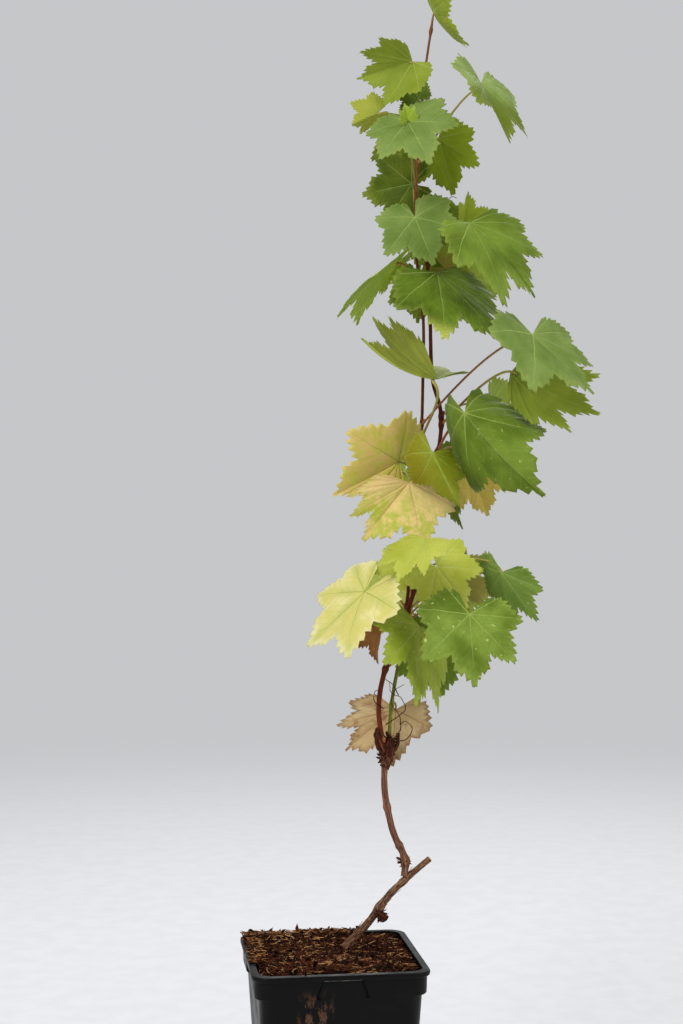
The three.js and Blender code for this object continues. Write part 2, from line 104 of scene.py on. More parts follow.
# Tendrils: thin dark dry ones round the shoots over the knot, and one from the red shoot's top
TENDRILS = [
    [[52, 13, 186], [60, 10, 197], [58, 8, 210], [52, 9, 219], [55, 8, 231], [63, 9, 236]],
    [[47, 14, 200], [55, 8, 206], [64, 9, 214], [60, 12, 224], [52, 12, 228], [50, 9, 238]],
    [[58, 12, 226], [53, 8, 236], [46, 9, 241], [44, 11, 248]],
    [[55, 16, 184], [66, 14, 188], [70, 13, 197], [64, 12, 203], [59, 11, 200]],
    [[86, 14, 652], [91, 7, 657], [98, 6, 656], [104, 8, 662], [109, 8, 660]],
    [[45, 12, 214], [38, 9, 220], [37, 9, 229], [43, 8, 232]],
]

# The leaves' rule, as in the part's source
HALF_OUTLINE = [
    [0, 1.0], [10, 0.83], [18, 0.81], [28, 0.62], [40, 0.79], [50, 0.92], [62, 0.77], [77, 0.61],
    [89, 0.68], [101, 0.72], [117, 0.58], [137, 0.5], [158, 0.34],
]
WAVE_HEIGHT = 0.035
WAVE_TURNS = 3
SOLID_THICKNESS = 1.2
DEPTH_STEP = 3
MOST_DEPTH_STEPS = 10
NODE_STEP = 7
MOST_NODE_STEPS = 3
STALK_OUTWARD = 0.25
STALK_RISE = 0.22
STALK_ARRIVAL = 0.3
STALK_JOIN = 0.07
THINNEST_STALK = 0.55
STALK_GROWTH = 0.008

# Each leaf: its name, its shoot and the height of its node there, the joint of blade and stalk
# [x, y, z], the way its tip points (clock, degrees from straight up towards the right), how far
# the tip leans to the front, its roll about the middle vein, its size from joint to tip, how far
# its left and right halves fold up, how far its tip and its edges bend down, in degrees, and how
# far its left and right halves spread round the joint, as a share of the whole outline's half.
LEAF_LIST = [
    ["leaf_top", "long", 806, [87, -4, 819], 154, 30, 73, 50, [16, -27], [31, 21], [1.07, 0.87]],
    ["leaf_top_left", "long", 755, [69, -25, 771], -101, -27, 169, 51, [-30, -26], [16, 38], [0.64, 1.02]],
    ["leaf_top_right", "long", 692, [126, -42, 748], 158, 27, -34, 66, [-6, 45], [6, 45], [0.90, 0.85]],
    ["leaf_top_front", "long", 667, [64, -45, 715], 156, 40, 0, 51, [12, 12], [20, 25], [1, 1]],
    ["leaf_young_left", "long", 724, [40, 0, 733], -115, 10, 150, 27, [45, 45], [15, 20], [1, 1]],
    ["leaf_young_top", "long", 738, [75, -14, 741], -72, 20, 20, 26, [15, 15], [20, 20], [1, 1]],
    ["leaf_right_back", "long", 704, [94, 35, 718], 160, -20, -160, 51, [-10, -10], [20, 20], [0.9, 0.9]],
    ["leaf_left_back", "long", 655, [70, 25, 676], -98, -15, 0, 48, [10, 10], [20, 25], [1, 1]],
    ["leaf_collar", "long", 622, [71, -25, 638], 160, 25, 0, 47, [10, 10], [20, 25], [1, 1.1]],
    ["leaf_right_upper", "red", 620, [117, -45, 630], 134, 23, -14, 85, [-13, 49], [57, 54], [0.61, 0.65]],
    ["leaf_right_young", "red", 642, [114, -4, 636], 10, 10, 40, 28, [35, 35], [10, 10], [1, 1]],
    ["leaf_centre", "red", 572, [90, -26, 591], 138, 24, -33, 91, [-18, 14], [7, 26], [0.62, 0.74]],
    ["leaf_left_hanging", "long", 590, [59, 4, 607], -129, -26, 49, 79, [46, -38], [32, 13], [0.95, 0.72]],
    ["leaf_patched", "red", 585, [99, 8, 601], 120, 10, 20, 34, [25, 25], [20, 15], [1, 1]],
    ["leaf_shaded", "red", 606, [100, 28, 628], 105, -10, 10, 46, [10, 10], [20, 25], [1, 1]],
    ["leaf_right_middle", "long", 463, [168, -55, 535], 135, 4, -32, 71, [-5, 31], [6, 40], [0.65, 1.17]],
    ["leaf_right_under", "red", 463, [153, -20, 506], 120, 0, 150, 84, [-10, -10], [15, 20], [0.5, 0.5]],
    ["leaf_left_edge", "long", 447, [89, -46, 498], -83, -43, 81, 97, [71, 14], [-36, 33], [0.51, 0.59]],
    ["leaf_bright", "red", 440, [111, -60, 469], 149, 37, 24, 102, [-49, -27], [60, 58], [0.95, 1.10]],
    ["leaf_yellow", "long", 418, [58, 0, 430], -120, 10, -25, 64, [20, 15], [15, 20], [0.5, 1.2]],
    ["leaf_mid_front", "red", 416, [84, -58, 436], 154, 8, 5, 54, [-49, -36], [51, 33], [0.60, 1.18]],
    ["leaf_mottled", "long", 388, [66, -38, 412], -141, 15, 0, 64, [10, 20], [20, 25], [1, 0.42]],
    ["leaf_mottled_fold", "red", 397, [104, -22, 412], 175, 0, 70, 42, [20, 20], [20, 15], [1, 1]],
    ["leaf_mid_back", "red", 438, [120, 8, 430], 158, -10, 0, 54, [10, 10], [20, 20], [0.8, 0.7]],
    ["leaf_lime", "red", 345, [79, -60, 364], -133, 40, 48, 51, [18, 1], [25, 34], [0.60, 0.68]],
    ["leaf_lime_right", "red", 318, [89, -32, 340], 142, 15, -10, 44, [12, 12], [20, 25], [1, 1]],
    ["leaf_olive", "red", 300, [104, 5, 328], 112, -10, 0, 42, [10, 10], [20, 25], [1, 1]],
    ["leaf_lime_small", "long", 322, [62, -20, 343], -160, 20, 0, 30, [12, 12], [20, 20], [1, 1]],
    ["leaf_pale", "long", 290, [28, -35, 319], -131, -8, 22, 70, [47, -27], [10, 42], [1.07, 0.93]],
    ["leaf_low_left", "red", 262, [75, -28, 289], -176, 43, -39, 82, [-4, 16], [5, 53], [0.68, 0.65]],
    ["leaf_star", "red", 285, [114, -72, 302], 176, 15, 0, 60, [8, 8], [20, 20], [0.8, 1]],
    ["leaf_low_right", "red", 331, [143, -45, 336], 170, -18, 18, 54, [24, -44], [15, 14], [0.71, 0.87]],
    ["leaf_low_back", "red", 248, [92, 6, 277], 175, 5, 10, 54, [10, 10], [20, 20], [1, 1]],
    ["leaf_dried", "long", 216, [57, 50, 209], -127, 0, 20, 58, [25, 35], [15, 10], [1.1, 0.5]],
    ["leaf_dried_curl", "long", 258, [44, -2, 286], -160, 10, 60, 32, [35, 35], [30, 10], [1, 1]],
    ["leaf_back_top", "long", 715, [66, 52, 724], -165, -25, 150, 42, [12, 12], [20, 25], [1, 1]],
    ["leaf_back_upper", "long", 640, [80, 60, 655], 178, -20, 215, 50, [12, 12], [20, 25], [1, 1]],
    ["leaf_back_high", "red", 575, [116, 62, 606], 165, -20, 145, 56, [12, 12], [20, 25], [1, 1]],
    ["leaf_back_right", "red", 470, [142, 50, 483], 160, -20, 135, 50, [12, 12], [20, 25], [1, 1]],
    ["leaf_back_middle", "long", 560, [78, 60, 598], 178, -20, 200, 40, [12, 12], [20, 25], [1, 1]],
    ["leaf_back_left", "long", 400, [66, 62, 424], -165, -20, 222, 50, [12, 12], [20, 25], [1, 1]],
    ["leaf_back_centre", "red", 436, [120, 62, 440], 160, -20, 150, 52, [12, 12], [20, 25], [1, 1]],
    ["leaf_back_low", "long", 300, [52, 58, 318], -165, -20, 220, 50, [12, 12], [20, 25], [1, 1]],
    ["leaf_back_low_right", "red", 290, [108, 58, 318], 160, -20, 138, 56, [12, 12], [20, 25], [1, 1]],
]

# The vine's frame in the row's: a turn about the upright, and a lift to the compost
turn = math.radians(VINE_TURN)
VINE_AXES = np.array([
    [math.cos(turn), -math.sin(turn), 0],
    [math.sin(turn), math.cos(turn), 0],
    [0, 0, 1],
])
VINE_LIFT = np.array([0, 0, SOIL_LEVEL])


def from_vine(points):
    """Points of the vine's frame, in millimetres, as points of the pot's, in millimetres."""
    return np.asarray(points, float) @ VINE_AXES.T + VINE_LIFT


def to_vine(points):
    """Points of the pot's frame, in millimetres, as points of the vine's."""
    return (np.asarray(points, float) - VINE_LIFT) @ VINE_AXES


def unit(vectors):
    return vectors / np.linalg.norm(vectors, axis=-1, keepdims=True)


def smooth(low, high, value):
    """0 below low, 1 above high, and a smooth rise between."""
    share = np.clip((value - low) / (high - low), 0, 1)
    return share * share * (3 - 2 * share)


def rough(points, scale, seed=0):
    """Smooth noise from -1 to 1 at each point, with lumps of about that size."""
    shift = Vector((seed * 7.3, seed * 3.1, seed * 5.7))
    return np.array([noise.noise(Vector(point) / scale + shift) for point in points])


# Forms: points, faces and attributes of one piece, gathered before its mesh is made


class Form:
    def __init__(self):
        self.points, self.faces, self.slots, self.values = [], [], [], {}
        self.count = 0

    def add(self, points, faces, slot=0, **values):
        """Adds points (n, 3) and faces, each a row of corners, with named values for the points."""
        points = np.asarray(points, float)
        for face_list in faces:
            self.faces.append(np.asarray(face_list) + self.count)
            self.slots.append(np.full(len(face_list), slot))
        for name, rows in values.items():
            self.values.setdefault(name, []).append((self.count, np.asarray(rows, float)))
        self.points.append(points)
        self.count += len(points)

    def piece(self, name, materials, smooth_faces=True, vine=True):
        """The form as an object of the scene that rides on the part's one body."""
        points = np.vstack(self.points)
        if vine:
            points = from_vine(points)
        faces = [face for rows in self.faces for face in rows.tolist()]
        mesh = bpy.data.meshes.new(name)
        mesh.from_pydata((points * MILLIMETRE).tolist(), [], faces)
        mesh.polygons.foreach_set("material_index", np.concatenate(self.slots).astype(np.int32))
        mesh.polygons.foreach_set("use_smooth", np.full(len(faces), smooth_faces))
        for key, parts in self.values.items():
            values = np.zeros((self.count, 3), np.float32)
            for first, rows in parts:
                values[first:first + len(rows)] = rows
            layer = mesh.attributes.new(key, "FLOAT_VECTOR", "POINT")
            layer.data.foreach_set("vector", values.ravel())
        for material in materials:
            mesh.materials.append(material)
        mesh.validate()
        mesh.update()
        piece = bpy.data.objects.new(name, mesh)
        bpy.context.scene.collection.objects.link(piece)
        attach(piece, "root")
        return piece


def ring_faces(rings, sides):
    """Faces between rings of points that run anticlockwise about the way from first to last."""
    near = np.arange(sides)
    far = (near + 1) % sides
    foot = np.arange(rings - 1)[:, None] * sides
    return np.stack([foot + near, foot + far, foot + far + sides, foot + near + sides], -1).reshape(-1, 4)


def closed_rings(rings):
    """Points and faces of rings (n, sides, 3) with both ends closed by fans."""
    count, sides, _ = rings.shape
    points = np.vstack([rings.reshape(-1, 3), rings[0].mean(0), rings[-1].mean(0)])
    near = np.arange(sides)
    far = (near + 1) % sides
    last = sides * (count - 1)
    foot = np.stack([np.full(sides, count * sides), far, near], -1)
    top = np.stack([np.full(sides, count * sides + 1), near + last, far + last], -1)
    return points, [ring_faces(count, sides), foot, top]


def curve_points(route, samples=24):
    """The smooth curve through a route's points that the part's solids follow."""
    points = np.array(route, float)
    padded = np.vstack([2 * points[0] - points[1], points, 2 * points[-1] - points[-2]])
    share = np.linspace(0, 1, samples, endpoint=False)[:, None]
    pieces = []
    for before, start, end, after in zip(padded, padded[1:], padded[2:], padded[3:]):
        leave = (end - before) / 2
        arrive = (after - start) / 2
        cubic = 2 * start - 2 * end + leave + arrive
        square = -3 * start + 3 * end - 2 * leave - arrive
        pieces.append(cubic * share**3 + square * share**2 + leave * share + start)
    return np.vstack([*pieces, points[-1:]])


def spaced(points, step):
    """The same curve with points a step apart, and how far along it each one is."""
    lengths = np.concatenate([[0], np.cumsum(np.linalg.norm(np.diff(points, axis=0), axis=1))])
    count = max(2, round(lengths[-1] / step))
    at = np.linspace(0, lengths[-1], count + 1)
    return np.column_stack([np.interp(at, lengths, points[:, axis]) for axis in range(3)]), at


def tube(points, radii, sides):
    """Rings round a curve, with the angle of each point, carried along without twist."""
    tangents = unit(np.gradient(points, axis=0))
    normal = np.cross(tangents[0], [0.3, 0.9, 0.1])
    normals = []
    for tangent in tangents:
        normal = unit(normal - tangent * (normal @ tangent))
        normals.append(normal)
    normals = np.array(normals)
    sideways = np.cross(tangents, normals)
    angle = np.linspace(0, 2 * math.pi, sides, endpoint=False)
    out = normals[:, None] * np.cos(angle)[:, None] + sideways[:, None] * np.sin(angle)[:, None]
    radii = np.asarray(radii, float)
    if radii.ndim == 1:
        radii = radii[:, None] * np.ones(sides)
    return points[:, None] + out * radii[..., None], angle


def add_tube(form, points, at, radii, sides, slot=0):
    """A closed tube. Its bark's pattern takes two values from round the limb and one from along it."""
    rings, angle = tube(points, radii, sides)
    solid_points, faces = closed_rings(rings)
    along, around = np.meshgrid(at, angle, indexing="ij")
    rows = np.stack([np.cos(around), np.sin(around), along], -1).reshape(-1, 3)
    form.add(solid_points, faces, slot, grain=np.vstack([rows, [0, 0, at[0]], [0, 0, at[-1]]]))


def add_limb(form, points, at, radii, sides, bark, slot=0):
    """A tube with ridges that run along it. Its bark is their relief, their number and a seed."""
    relief, reach, seed = bark
    angle = np.linspace(0, 2 * math.pi, sides, endpoint=False)
    along, around = np.meshgrid(at, angle, indexing="ij")
    spots = np.stack([np.cos(around) * reach, np.sin(around) * reach, along / 9], -1).reshape(-1, 3)
    ridges = 1 - 2 * np.abs(rough(spots, 1.0, seed)).reshape(along.shape)
    add_tube(form, points, at, radii[:, None] + relief * (ridges - 0.4), sides, slot)


def add_strip(form, rings):
    """A flat closed strip of bark, from its rings of four corners."""
    points, faces = closed_rings(rings)
    form.add(points, faces, 0, grain=np.column_stack([points[:, :2] / 4, points[:, 2]]))


# Limbs


def limb_radii(limb, at):
    return limb["foot"] + (limb["tip"] - limb["foot"]) * at / at[-1]


def swelling(at, place, height, width):
    """Extra radius round one place of a limb."""
    return height * np.exp(-((at - place) / width) ** 2)


def first_above(points, height):
    """Which point of a curve is the first to reach a height, or else the last point."""
    above = np.nonzero(points[:, 2] >= height)[0]
    return above[0] if len(above) else len(points) - 1


def swollen(radii, points, at, swellings):
    for height, extra, reach in swellings:
        radii = radii + swelling(at, at[first_above(points, height)], extra, reach)
    return radii


def point_at_height(limb, height):
    points = curve_points(limb["route"], 200)
    return points[first_above(points, height)]


def rounded_end(at, radii, length):
    """Radii that close to a round tip over the last length of the limb."""
    left = np.clip((at[-1] - at) / length, 0, 1)
    return radii * np.sqrt(np.clip(1 - (1 - left) ** 2, 0.02, 1))


def make_cutting():
    """The old cutting: shredding bark, a rough knob on its side, and a pale cut end."""
    form = Form()
    buried = 6
    route = curve_points(TRUNK["route"])
    points, at = spaced(route[route[:, 2] >= -buried], 0.8)
    flare_reach = 1.8 * at[first_above(points, 4)]
    radii = limb_radii(TRUNK, at)
    radii += TRUNK["foot"] * (FOOT_FLARE - 1) * (1 - smooth(0, flare_reach, at))
    add_limb(form, points, at, swollen(radii, points, at, TRUNK_SWELLINGS), 40, (0.42, 2.2, 1))
    knob, knob_at = spaced(curve_points(SIDE_STUB["route"]), 0.5)
    knob_radii = limb_radii(SIDE_STUB, knob_at) + 0.7 + rough(knob, 2.5, 61) * 1.4
    add_limb(form, knob, knob_at, rounded_end(knob_at, knob_radii, 3), 36, (1.0, 2.2, 2), 2)
    outward = unit(points[-1] - points[-4])
    cut = np.array([points[-1] + outward * 0.05, points[-1] + outward * 0.35])
    add_tube(form, cut, np.array([0, 0.3]), np.array([0.92, 0.86]) * TRUNK["tip"], 24, 1)
    return form


def make_shreds(seed=5, count=26):
    """Thin strips of bark that lift off the old cutting."""
    form = Form()
    rng = np.random.default_rng(seed)
    points, at = spaced(curve_points(TRUNK["route"]), 1)
    tangents = unit(np.gradient(points, axis=0))
    for _ in range(count):
        start = rng.integers(12, len(points) - 24)
        length = rng.integers(7, 17)
        share = np.linspace(0, 1, length)[:, None]
        spin = rng.uniform(0, 2 * math.pi)
        side = unit(np.cross(tangents[start], [math.cos(spin), math.sin(spin), 0.3]))
        lift = share**2 * rng.uniform(0.4, 2.2)
        radius = 3.0 * (1 + 0.1 * rng.normal())
        middle = points[start:start + length] + side * (radius + lift)
        half_width = unit(np.cross(tangents[start], side)) * rng.uniform(0.4, 0.9) * (1 - 0.7 * share**2)
        out = side * 0.12
        corners = [-half_width + out, half_width + out, half_width - out, -half_width - out]
        add_strip(form, np.stack([middle + corner for corner in corners], 1))
    return form


def make_stem():
    """The stem that grew from the cutting, with a scaly knot at its foot and a thick one on top."""
    form = Form()
    points, at = spaced(curve_points(STEM["route"])[6:], 0.8)
    radii = rounded_end(at, swollen(limb_radii(STEM, at), points, at, STEM_SWELLINGS), 3.5)
    add_limb(form, points, at, radii, 36, (0.3, 1.6, 3))
    return form


def make_knot():
    """The rough old knot on top of the stem, from which the shoots and the dry stub grow."""
    form = Form()
    points, at = spaced(curve_points(KNOT_ROUTE), 0.7)
    radii = 2.4 + 3.6 * np.sin(math.pi * (at / at[-1]) ** 1.15) ** 1.4 + rough(points, 3.5, 41) * 1.2
    add_limb(form, points, at, rounded_end(at, radii, 4), 44, (1.5, 2.6, 17))
    arm, arm_at = spaced(curve_points(KNOT_ARM_ROUTE), 0.6)
    arm_radii = 2.6 + 1.8 * np.sin(math.pi * (arm_at / arm_at[-1]) ** 0.8) + rough(arm, 3, 43) * 0.8
    add_limb(form, arm, arm_at, rounded_end(arm_at, arm_radii, 2), 36, (0.9, 2.4, 18))
    add_drop(form, np.array([45.5, 12.5, 184]), unit(np.array([-0.1, -0.4, 1.0])), 7, 1.8, 16, 1)
    return form


def make_shoot(name, seed):
    """A leafy shoot: thin, with a swelling wherever a leaf's stalk leaves it."""
    form = Form()
    limb = SHOOTS[name]
    points, at = spaced(curve_points(limb["route"]), 1.0)
    heights = sorted(leaf["at"] for leaf in leaves if leaf["on"] == name and leaf["at"] > 200)
    radii = limb_radii(limb, at) + swelling(at, 0, 1.5, 11)
    radii = swollen(radii, points, at, [(height, 0.42 * limb["foot"], 3.2) for height in heights])
    add_limb(form, points, at, rounded_end(at, radii, 2), 20, (0.1, 1.4, seed))
    return form


def make_dead_stub():
    form = Form()
    points, at = spaced(curve_points(DEAD_STUB["route"]), 0.6)
    add_limb(form, points, at, limb_radii(DEAD_STUB, at), 24, (0.28, 1.6, 9))
    return form


def add_drop(form, root, way, length, radius, sides=12, slot=0):
    """A pointed drop, such as a bud, that stands on its root."""
    share = np.linspace(0, 1, 9)
    points = root + share[:, None] * way * length
    profile = radius * np.sqrt(np.clip(4 * share * (1 - share) ** 1.3, 0.004, None))
    add_tube(form, points, share * length, profile, sides, slot)


def make_buds(seed=8):
    """A small pointed bud over each leaf's stalk."""
    form = Form()
    rng = np.random.default_rng(seed)
    for leaf in leaves:
        limb = SHOOTS[leaf["on"]]
        foot = point_at_height(limb, leaf["at"] + 2.2)
        outward = leaf["joint"] - foot
        outward[2] = 0
        way = unit(unit(outward) + [0, 0, 1.1])
        size = rng.uniform(0.8, 1.25)
        add_drop(form, foot + unit(outward) * limb["tip"] * 0.8, way, 3.6 * size, 1.05 * size)
    return form


def make_tendrils():
    form = Form()
    for index, route in enumerate(TENDRILS):
        points, at = spaced(curve_points(route), 0.7)
        wobble = np.column_stack([rough(points, 6, index + 20 * axis) for axis in range(3)])
        radii = rounded_end(at, 0.5 - 0.25 * at / at[-1], 1.5)
        add_tube(form, points + wobble * 0.8, at, radii, 8)
    return form


def make_scales(seed=12):
    """Dry dark scales and crumbs of old bark about the knots and the knob."""
    form = Form()
    rng = np.random.default_rng(seed)
    spots = [(STEM_KNOT, 6.6, 70), (STEM_FOOT_KNOT, 4.4, 34), ([50, 17, 186], 5.0, 44),
             (SIDE_STUB["route"][1], 3.6, 40)]
    for centre, reach, count in spots:
        for _ in range(count):
            way = unit(rng.normal(size=3))
            root = np.array(centre) + way * reach * rng.uniform(0.75, 1.0) * [1, 1, 1.1]
            add_flake(form, root, way, rng, rng.uniform(1.4, 4.2))
    return form


def add_flake(form, root, way, rng, length):
    """A curved pointed scale that stands off along a way."""
    side = unit(np.cross(way, rng.normal(size=3)))
    lean = unit(np.cross(side, way) + way * rng.uniform(0.1, 0.9))
    share = np.linspace(0, 1, 5)[:, None]
    middle = root + lean * share * length + way * share**2 * length * 0.3
    half_width = side * length * 0.3 * np.sqrt(np.clip(share * (1.06 - share) * 4, 0.02, None))
    add_strip(form, np.stack([middle - half_width, middle - way * 0.15, middle + half_width,
                              middle + way * 0.25], 1))


# Leaves


def read_leaf(row):
    name, on, at, joint, clock, lean, roll, size, folds, bends, spread = row
    return {
        "name": name, "on": on, "at": at, "joint": np.array(joint, float),
        "clock": math.radians(clock), "lean": math.radians(lean), "roll": math.radians(roll),
        "size": size, "folds": np.radians(folds), "tip_bend": math.radians(bends[0]),
        "edge_bend": math.radians(bends[1]), "spread": spread,
    }


def leaf_axes(leaf):
    """The leaf's own axes: across to its right, along the middle vein, and out of its upper face."""
    clock, lean, roll = leaf["clock"], leaf["lean"], leaf["roll"]
    along = np.array([math.sin(clock) * math.cos(lean), -math.sin(lean), math.cos(clock) * math.cos(lean)])
    front = np.array([0.0, -1.0, 0.0])
    facing = unit(front - along * (front @ along))
    side = np.cross(along, facing)
    up = facing * math.cos(roll) + side * math.sin(roll)
    across = side * math.cos(roll) - facing * math.sin(roll)
    return across, along, up


def leaf_points(leaf, x, y, height):
    """Points of the leaf from their places on the flat blade and their heights over it."""
    across, along, up = leaf_axes(leaf)
    fold = np.where(x < 0, leaf["folds"][0], leaf["folds"][1])
    curve = leaf["edge_bend"] / leaf["size"]
    angle = fold - curve * np.abs(x)
    side = np.sign(x) * ((np.sin(fold) - np.sin(angle)) / curve - height * np.sin(angle))
    rise = (np.cos(angle) - np.cos(fold)) / curve + height * np.cos(angle)
    tip_radius = leaf["size"] / leaf["tip_bend"]
    bend = y / tip_radius
    forward = (tip_radius + rise) * np.sin(bend)
    lift = (tip_radius + rise) * np.cos(bend) - tip_radius
    return leaf["joint"] + side[..., None] * across + forward[..., None] * along + lift[..., None] * up


def vein_point(leaf, distance, height):
    """One point over the middle vein, at a distance from the joint."""
    return leaf_points(leaf, np.zeros(1), np.array([distance]), np.array([height]))[0]


def wave_of(leaf, angle, distance):
    """How far the solid blade's waves lift it. The joint's height sets where they start."""
    return WAVE_HEIGHT * distance * np.sin(WAVE_TURNS * angle + leaf["joint"][2])


def solid_blade_corners(leaf):
    """The corners of the leaf's solid blade, as the part's source places them."""
    half = np.array(HALF_OUTLINE, float)
    left, right = half[1:][::-1].copy(), half.copy()
    left[:, 0] *= -leaf["spread"][0]
    right[:, 0] *= leaf["spread"][1]
    outline = np.vstack([left, right])
    angle, distance = np.radians(outline[:, 0]), outline[:, 1] * leaf["size"]
    x, y = distance * np.sin(angle), distance * np.cos(angle)
    wave = wave_of(leaf, angle, distance)
    return np.vstack([leaf_points(leaf, x, y, wave + side * SOLID_THICKNESS / 2) for side in (1, -1)])


def stalk_points(leaf, samples=40):
    """The stalk's middle line, from the middle of its shoot up to the joint."""
    _, along, up = leaf_axes(leaf)
    foot = point_at_height(SHOOTS[leaf["on"]], leaf["at"])
    outward = leaf["joint"] - foot
    outward[2] = 0
    length = np.linalg.norm(leaf["joint"] - foot)
    first = foot + unit(outward) * STALK_OUTWARD * length + [0, 0, STALK_RISE * length]
    last = leaf["joint"] - (along + up) / 2 * STALK_ARRIVAL * length
    end = vein_point(leaf, STALK_JOIN * leaf["size"], 0)
    share = np.linspace(0, 1, samples)[:, None]
    rest = 1 - share
    return foot * rest**3 + 3 * first * rest**2 * share + 3 * last * rest * share**2 + end * share**3


def stalk_radius(leaf):
    return THINNEST_STALK + STALK_GROWTH * leaf["size"]


def nearest(points, others):
    """Each point's distance to the nearest of the others."""
    return np.linalg.norm(points[:, None] - others[None], axis=-1).min(1)


def shifts(step, most):
    return [step * count for count in range(-most, most + 1)]


def settle(leaf):
    """Finds the place that the part's source gave the leaf: a shift in depth and along its shoot.
    The solid's corners fit one place only, of those that the rule steps through."""
    corners = to_vine(np.array([vertex.co for vertex in nodes[leaf["name"]].data.vertices]) / MILLIMETRE)
    blade = solid_blade_corners(leaf)
    depths = shifts(DEPTH_STEP, MOST_DEPTH_STEPS)
    misses = [np.median(nearest(blade + [0, depth, 0], corners)) for depth in depths]
    leaf["joint"][1] += depths[int(np.argmin(misses))]
    stalk = corners[nearest(corners, solid_blade_corners(leaf)) > leaf["size"] * 0.03]
    own, radius = leaf["at"], stalk_radius(leaf)
    moves = shifts(NODE_STEP, MOST_NODE_STEPS)
    misses = []
    for move in moves:
        leaf["at"] = own + move
        misses.append(np.median(np.abs(nearest(stalk, stalk_points(leaf, 160)) - radius)))
    leaf["at"] = own + moves[int(np.argmin(misses))]


# The dressed blade: teeth as shares of the leaf's size, veins in degrees from the middle one
LOBES = [0, 5, 9]
TOOTH_BASE = 0.105
TOOTH_HEIGHT = 0.045
TOOTH_PROFILE = [(0.3, 0.3), (0.55, 0.62), (0.8, 1.0), (0.9, 0.3)]
TOOTH_GAP = -0.3
VEIN_ANGLES = [0, 50, 101, 143]
VEIN_PITCH = 0.115
VEIN_SLANT = 0.85
BLADE_RINGS = 15
BLADE_THICKNESS = 0.42


def toothed_half(rng):
    """Half of the toothed margin as (angle, reach), from the middle vein's tip to the joint's
    side. Each edge of the outline carries teeth that lean to the nearest lobe's tip."""
    half = np.array(HALF_OUTLINE, float)
    angle = np.radians(half[:, 0])
    corners = np.column_stack([half[:, 1] * np.sin(angle), half[:, 1] * np.cos(angle)])
    margin = []
    for index, (start, end) in enumerate(zip(corners, corners[1:])):
        lobe = min(LOBES, key=lambda place: abs(place - index - 0.5))
        profile = TOOTH_PROFILE
        if lobe <= index:
            profile = [(1 - place, lift) for place, lift in reversed(profile)]
        edge = end - start
        length = np.linalg.norm(edge)
        outward = np.array([-edge[1], edge[0]]) / length
        outward *= np.sign(outward @ (start + end))
        teeth = max(1, round(length / TOOTH_BASE))
        for tooth in range(teeth):
            size = TOOTH_HEIGHT * rng.uniform(0.65, 1.35)
            for place, lift in [(0, TOOTH_GAP), *profile]:
                share = (tooth + place) / teeth
                if index + share == 0:
                    lift = 0.6
                margin.append(start + edge * share + outward * size * (lift - 0.2))
    margin = np.array([*margin, corners[-1]])
    reach = np.linalg.norm(margin, axis=1)
    around = np.arctan2(margin[:, 0], margin[:, 1])
    for index in range(1, len(around)):
        around[index] = max(around[index], around[index - 1] + 0.002)
    return around, reach


def relief_of(leaf, angle, share, edge, rng):
    """The blade's relief: sunken veins, quilting between them, and a soft waviness to the margin."""
    middles = np.radians(VEIN_ANGLES)
    off_vein = np.abs(angle) - middles[np.argmin(np.abs(np.abs(angle)[..., None] - middles), axis=-1)]
    along, beside = share * np.cos(off_vein), share * np.sin(off_vein)
    groove = -0.5 * np.exp(-(beside / 0.022) ** 2) * smooth(0.02, 0.12, share) * (1.1 - share)
    phase = (along - VEIN_SLANT * np.abs(beside)) / VEIN_PITCH + 0.5 * (beside > 0) + 0.3 * (angle > 0)
    quilt = 0.22 * np.abs(np.sin(math.pi * phase)) * smooth(0.01, 0.08, np.abs(beside))
    turns = rng.uniform(0, 2 * math.pi, 3)
    ruffle = 0.5 * edge**3 * np.sin(9 * angle + turns[0]) + 0.3 * edge**2 * np.sin(17 * angle + turns[1])
    buckle = 0.45 * edge * np.sin(5 * angle + 4 * share + turns[2])
    return (groove + quilt + ruffle + buckle) * leaf["size"] / 70


def make_leaf(leaf, seed):
    """A leaf as one form: a thin closed blade with a toothed margin, and its stalk."""
    form = Form()
    add_blade(form, leaf, np.random.default_rng(seed))
    add_stalk(form, leaf)
    return form


def add_blade(form, leaf, rng):
    left_angle, left_reach = toothed_half(rng)
    right_angle, right_reach = toothed_half(rng)
    plain = np.concatenate([-left_angle[:0:-1], right_angle])
    reach = np.concatenate([left_reach[:0:-1], right_reach])
    spread = np.where(plain < 0, leaf["spread"][0], leaf["spread"][1])
    count = len(plain)
    rings = np.linspace(0, 1, BLADE_RINGS + 1)[1:] ** 0.85
    edge = np.repeat(rings[:, None], count, 1)
    share = edge * reach
    plain = np.repeat(plain[None], BLADE_RINGS, 0)
    angle = plain * spread
    distance = share * leaf["size"]
    x, y = distance * np.sin(angle), distance * np.cos(angle)
    height = wave_of(leaf, angle, distance) + relief_of(leaf, plain, share, edge, rng)
    half_thickness = BLADE_THICKNESS / 2 * (1 - 0.6 * edge**4)
    flat_x, flat_y, margin = [np.append(0, values.ravel())
                              for values in (share * np.sin(plain), share * np.cos(plain), edge)]
    skins, patterns = [], []
    for sign in (1, -1):
        skin = leaf_points(leaf, x, y, height + sign * half_thickness).reshape(-1, 3)
        skins += [vein_point(leaf, 0, sign * BLADE_THICKNESS / 2), skin]
        patterns.append(np.column_stack([flat_x, flat_y, np.full(len(margin), float(sign < 0))]))
    margins = np.column_stack([np.tile(margin, 2)] * 3)
    form.add(np.vstack(skins), blade_faces(count), 0, blade=np.vstack(patterns), margin=margins)


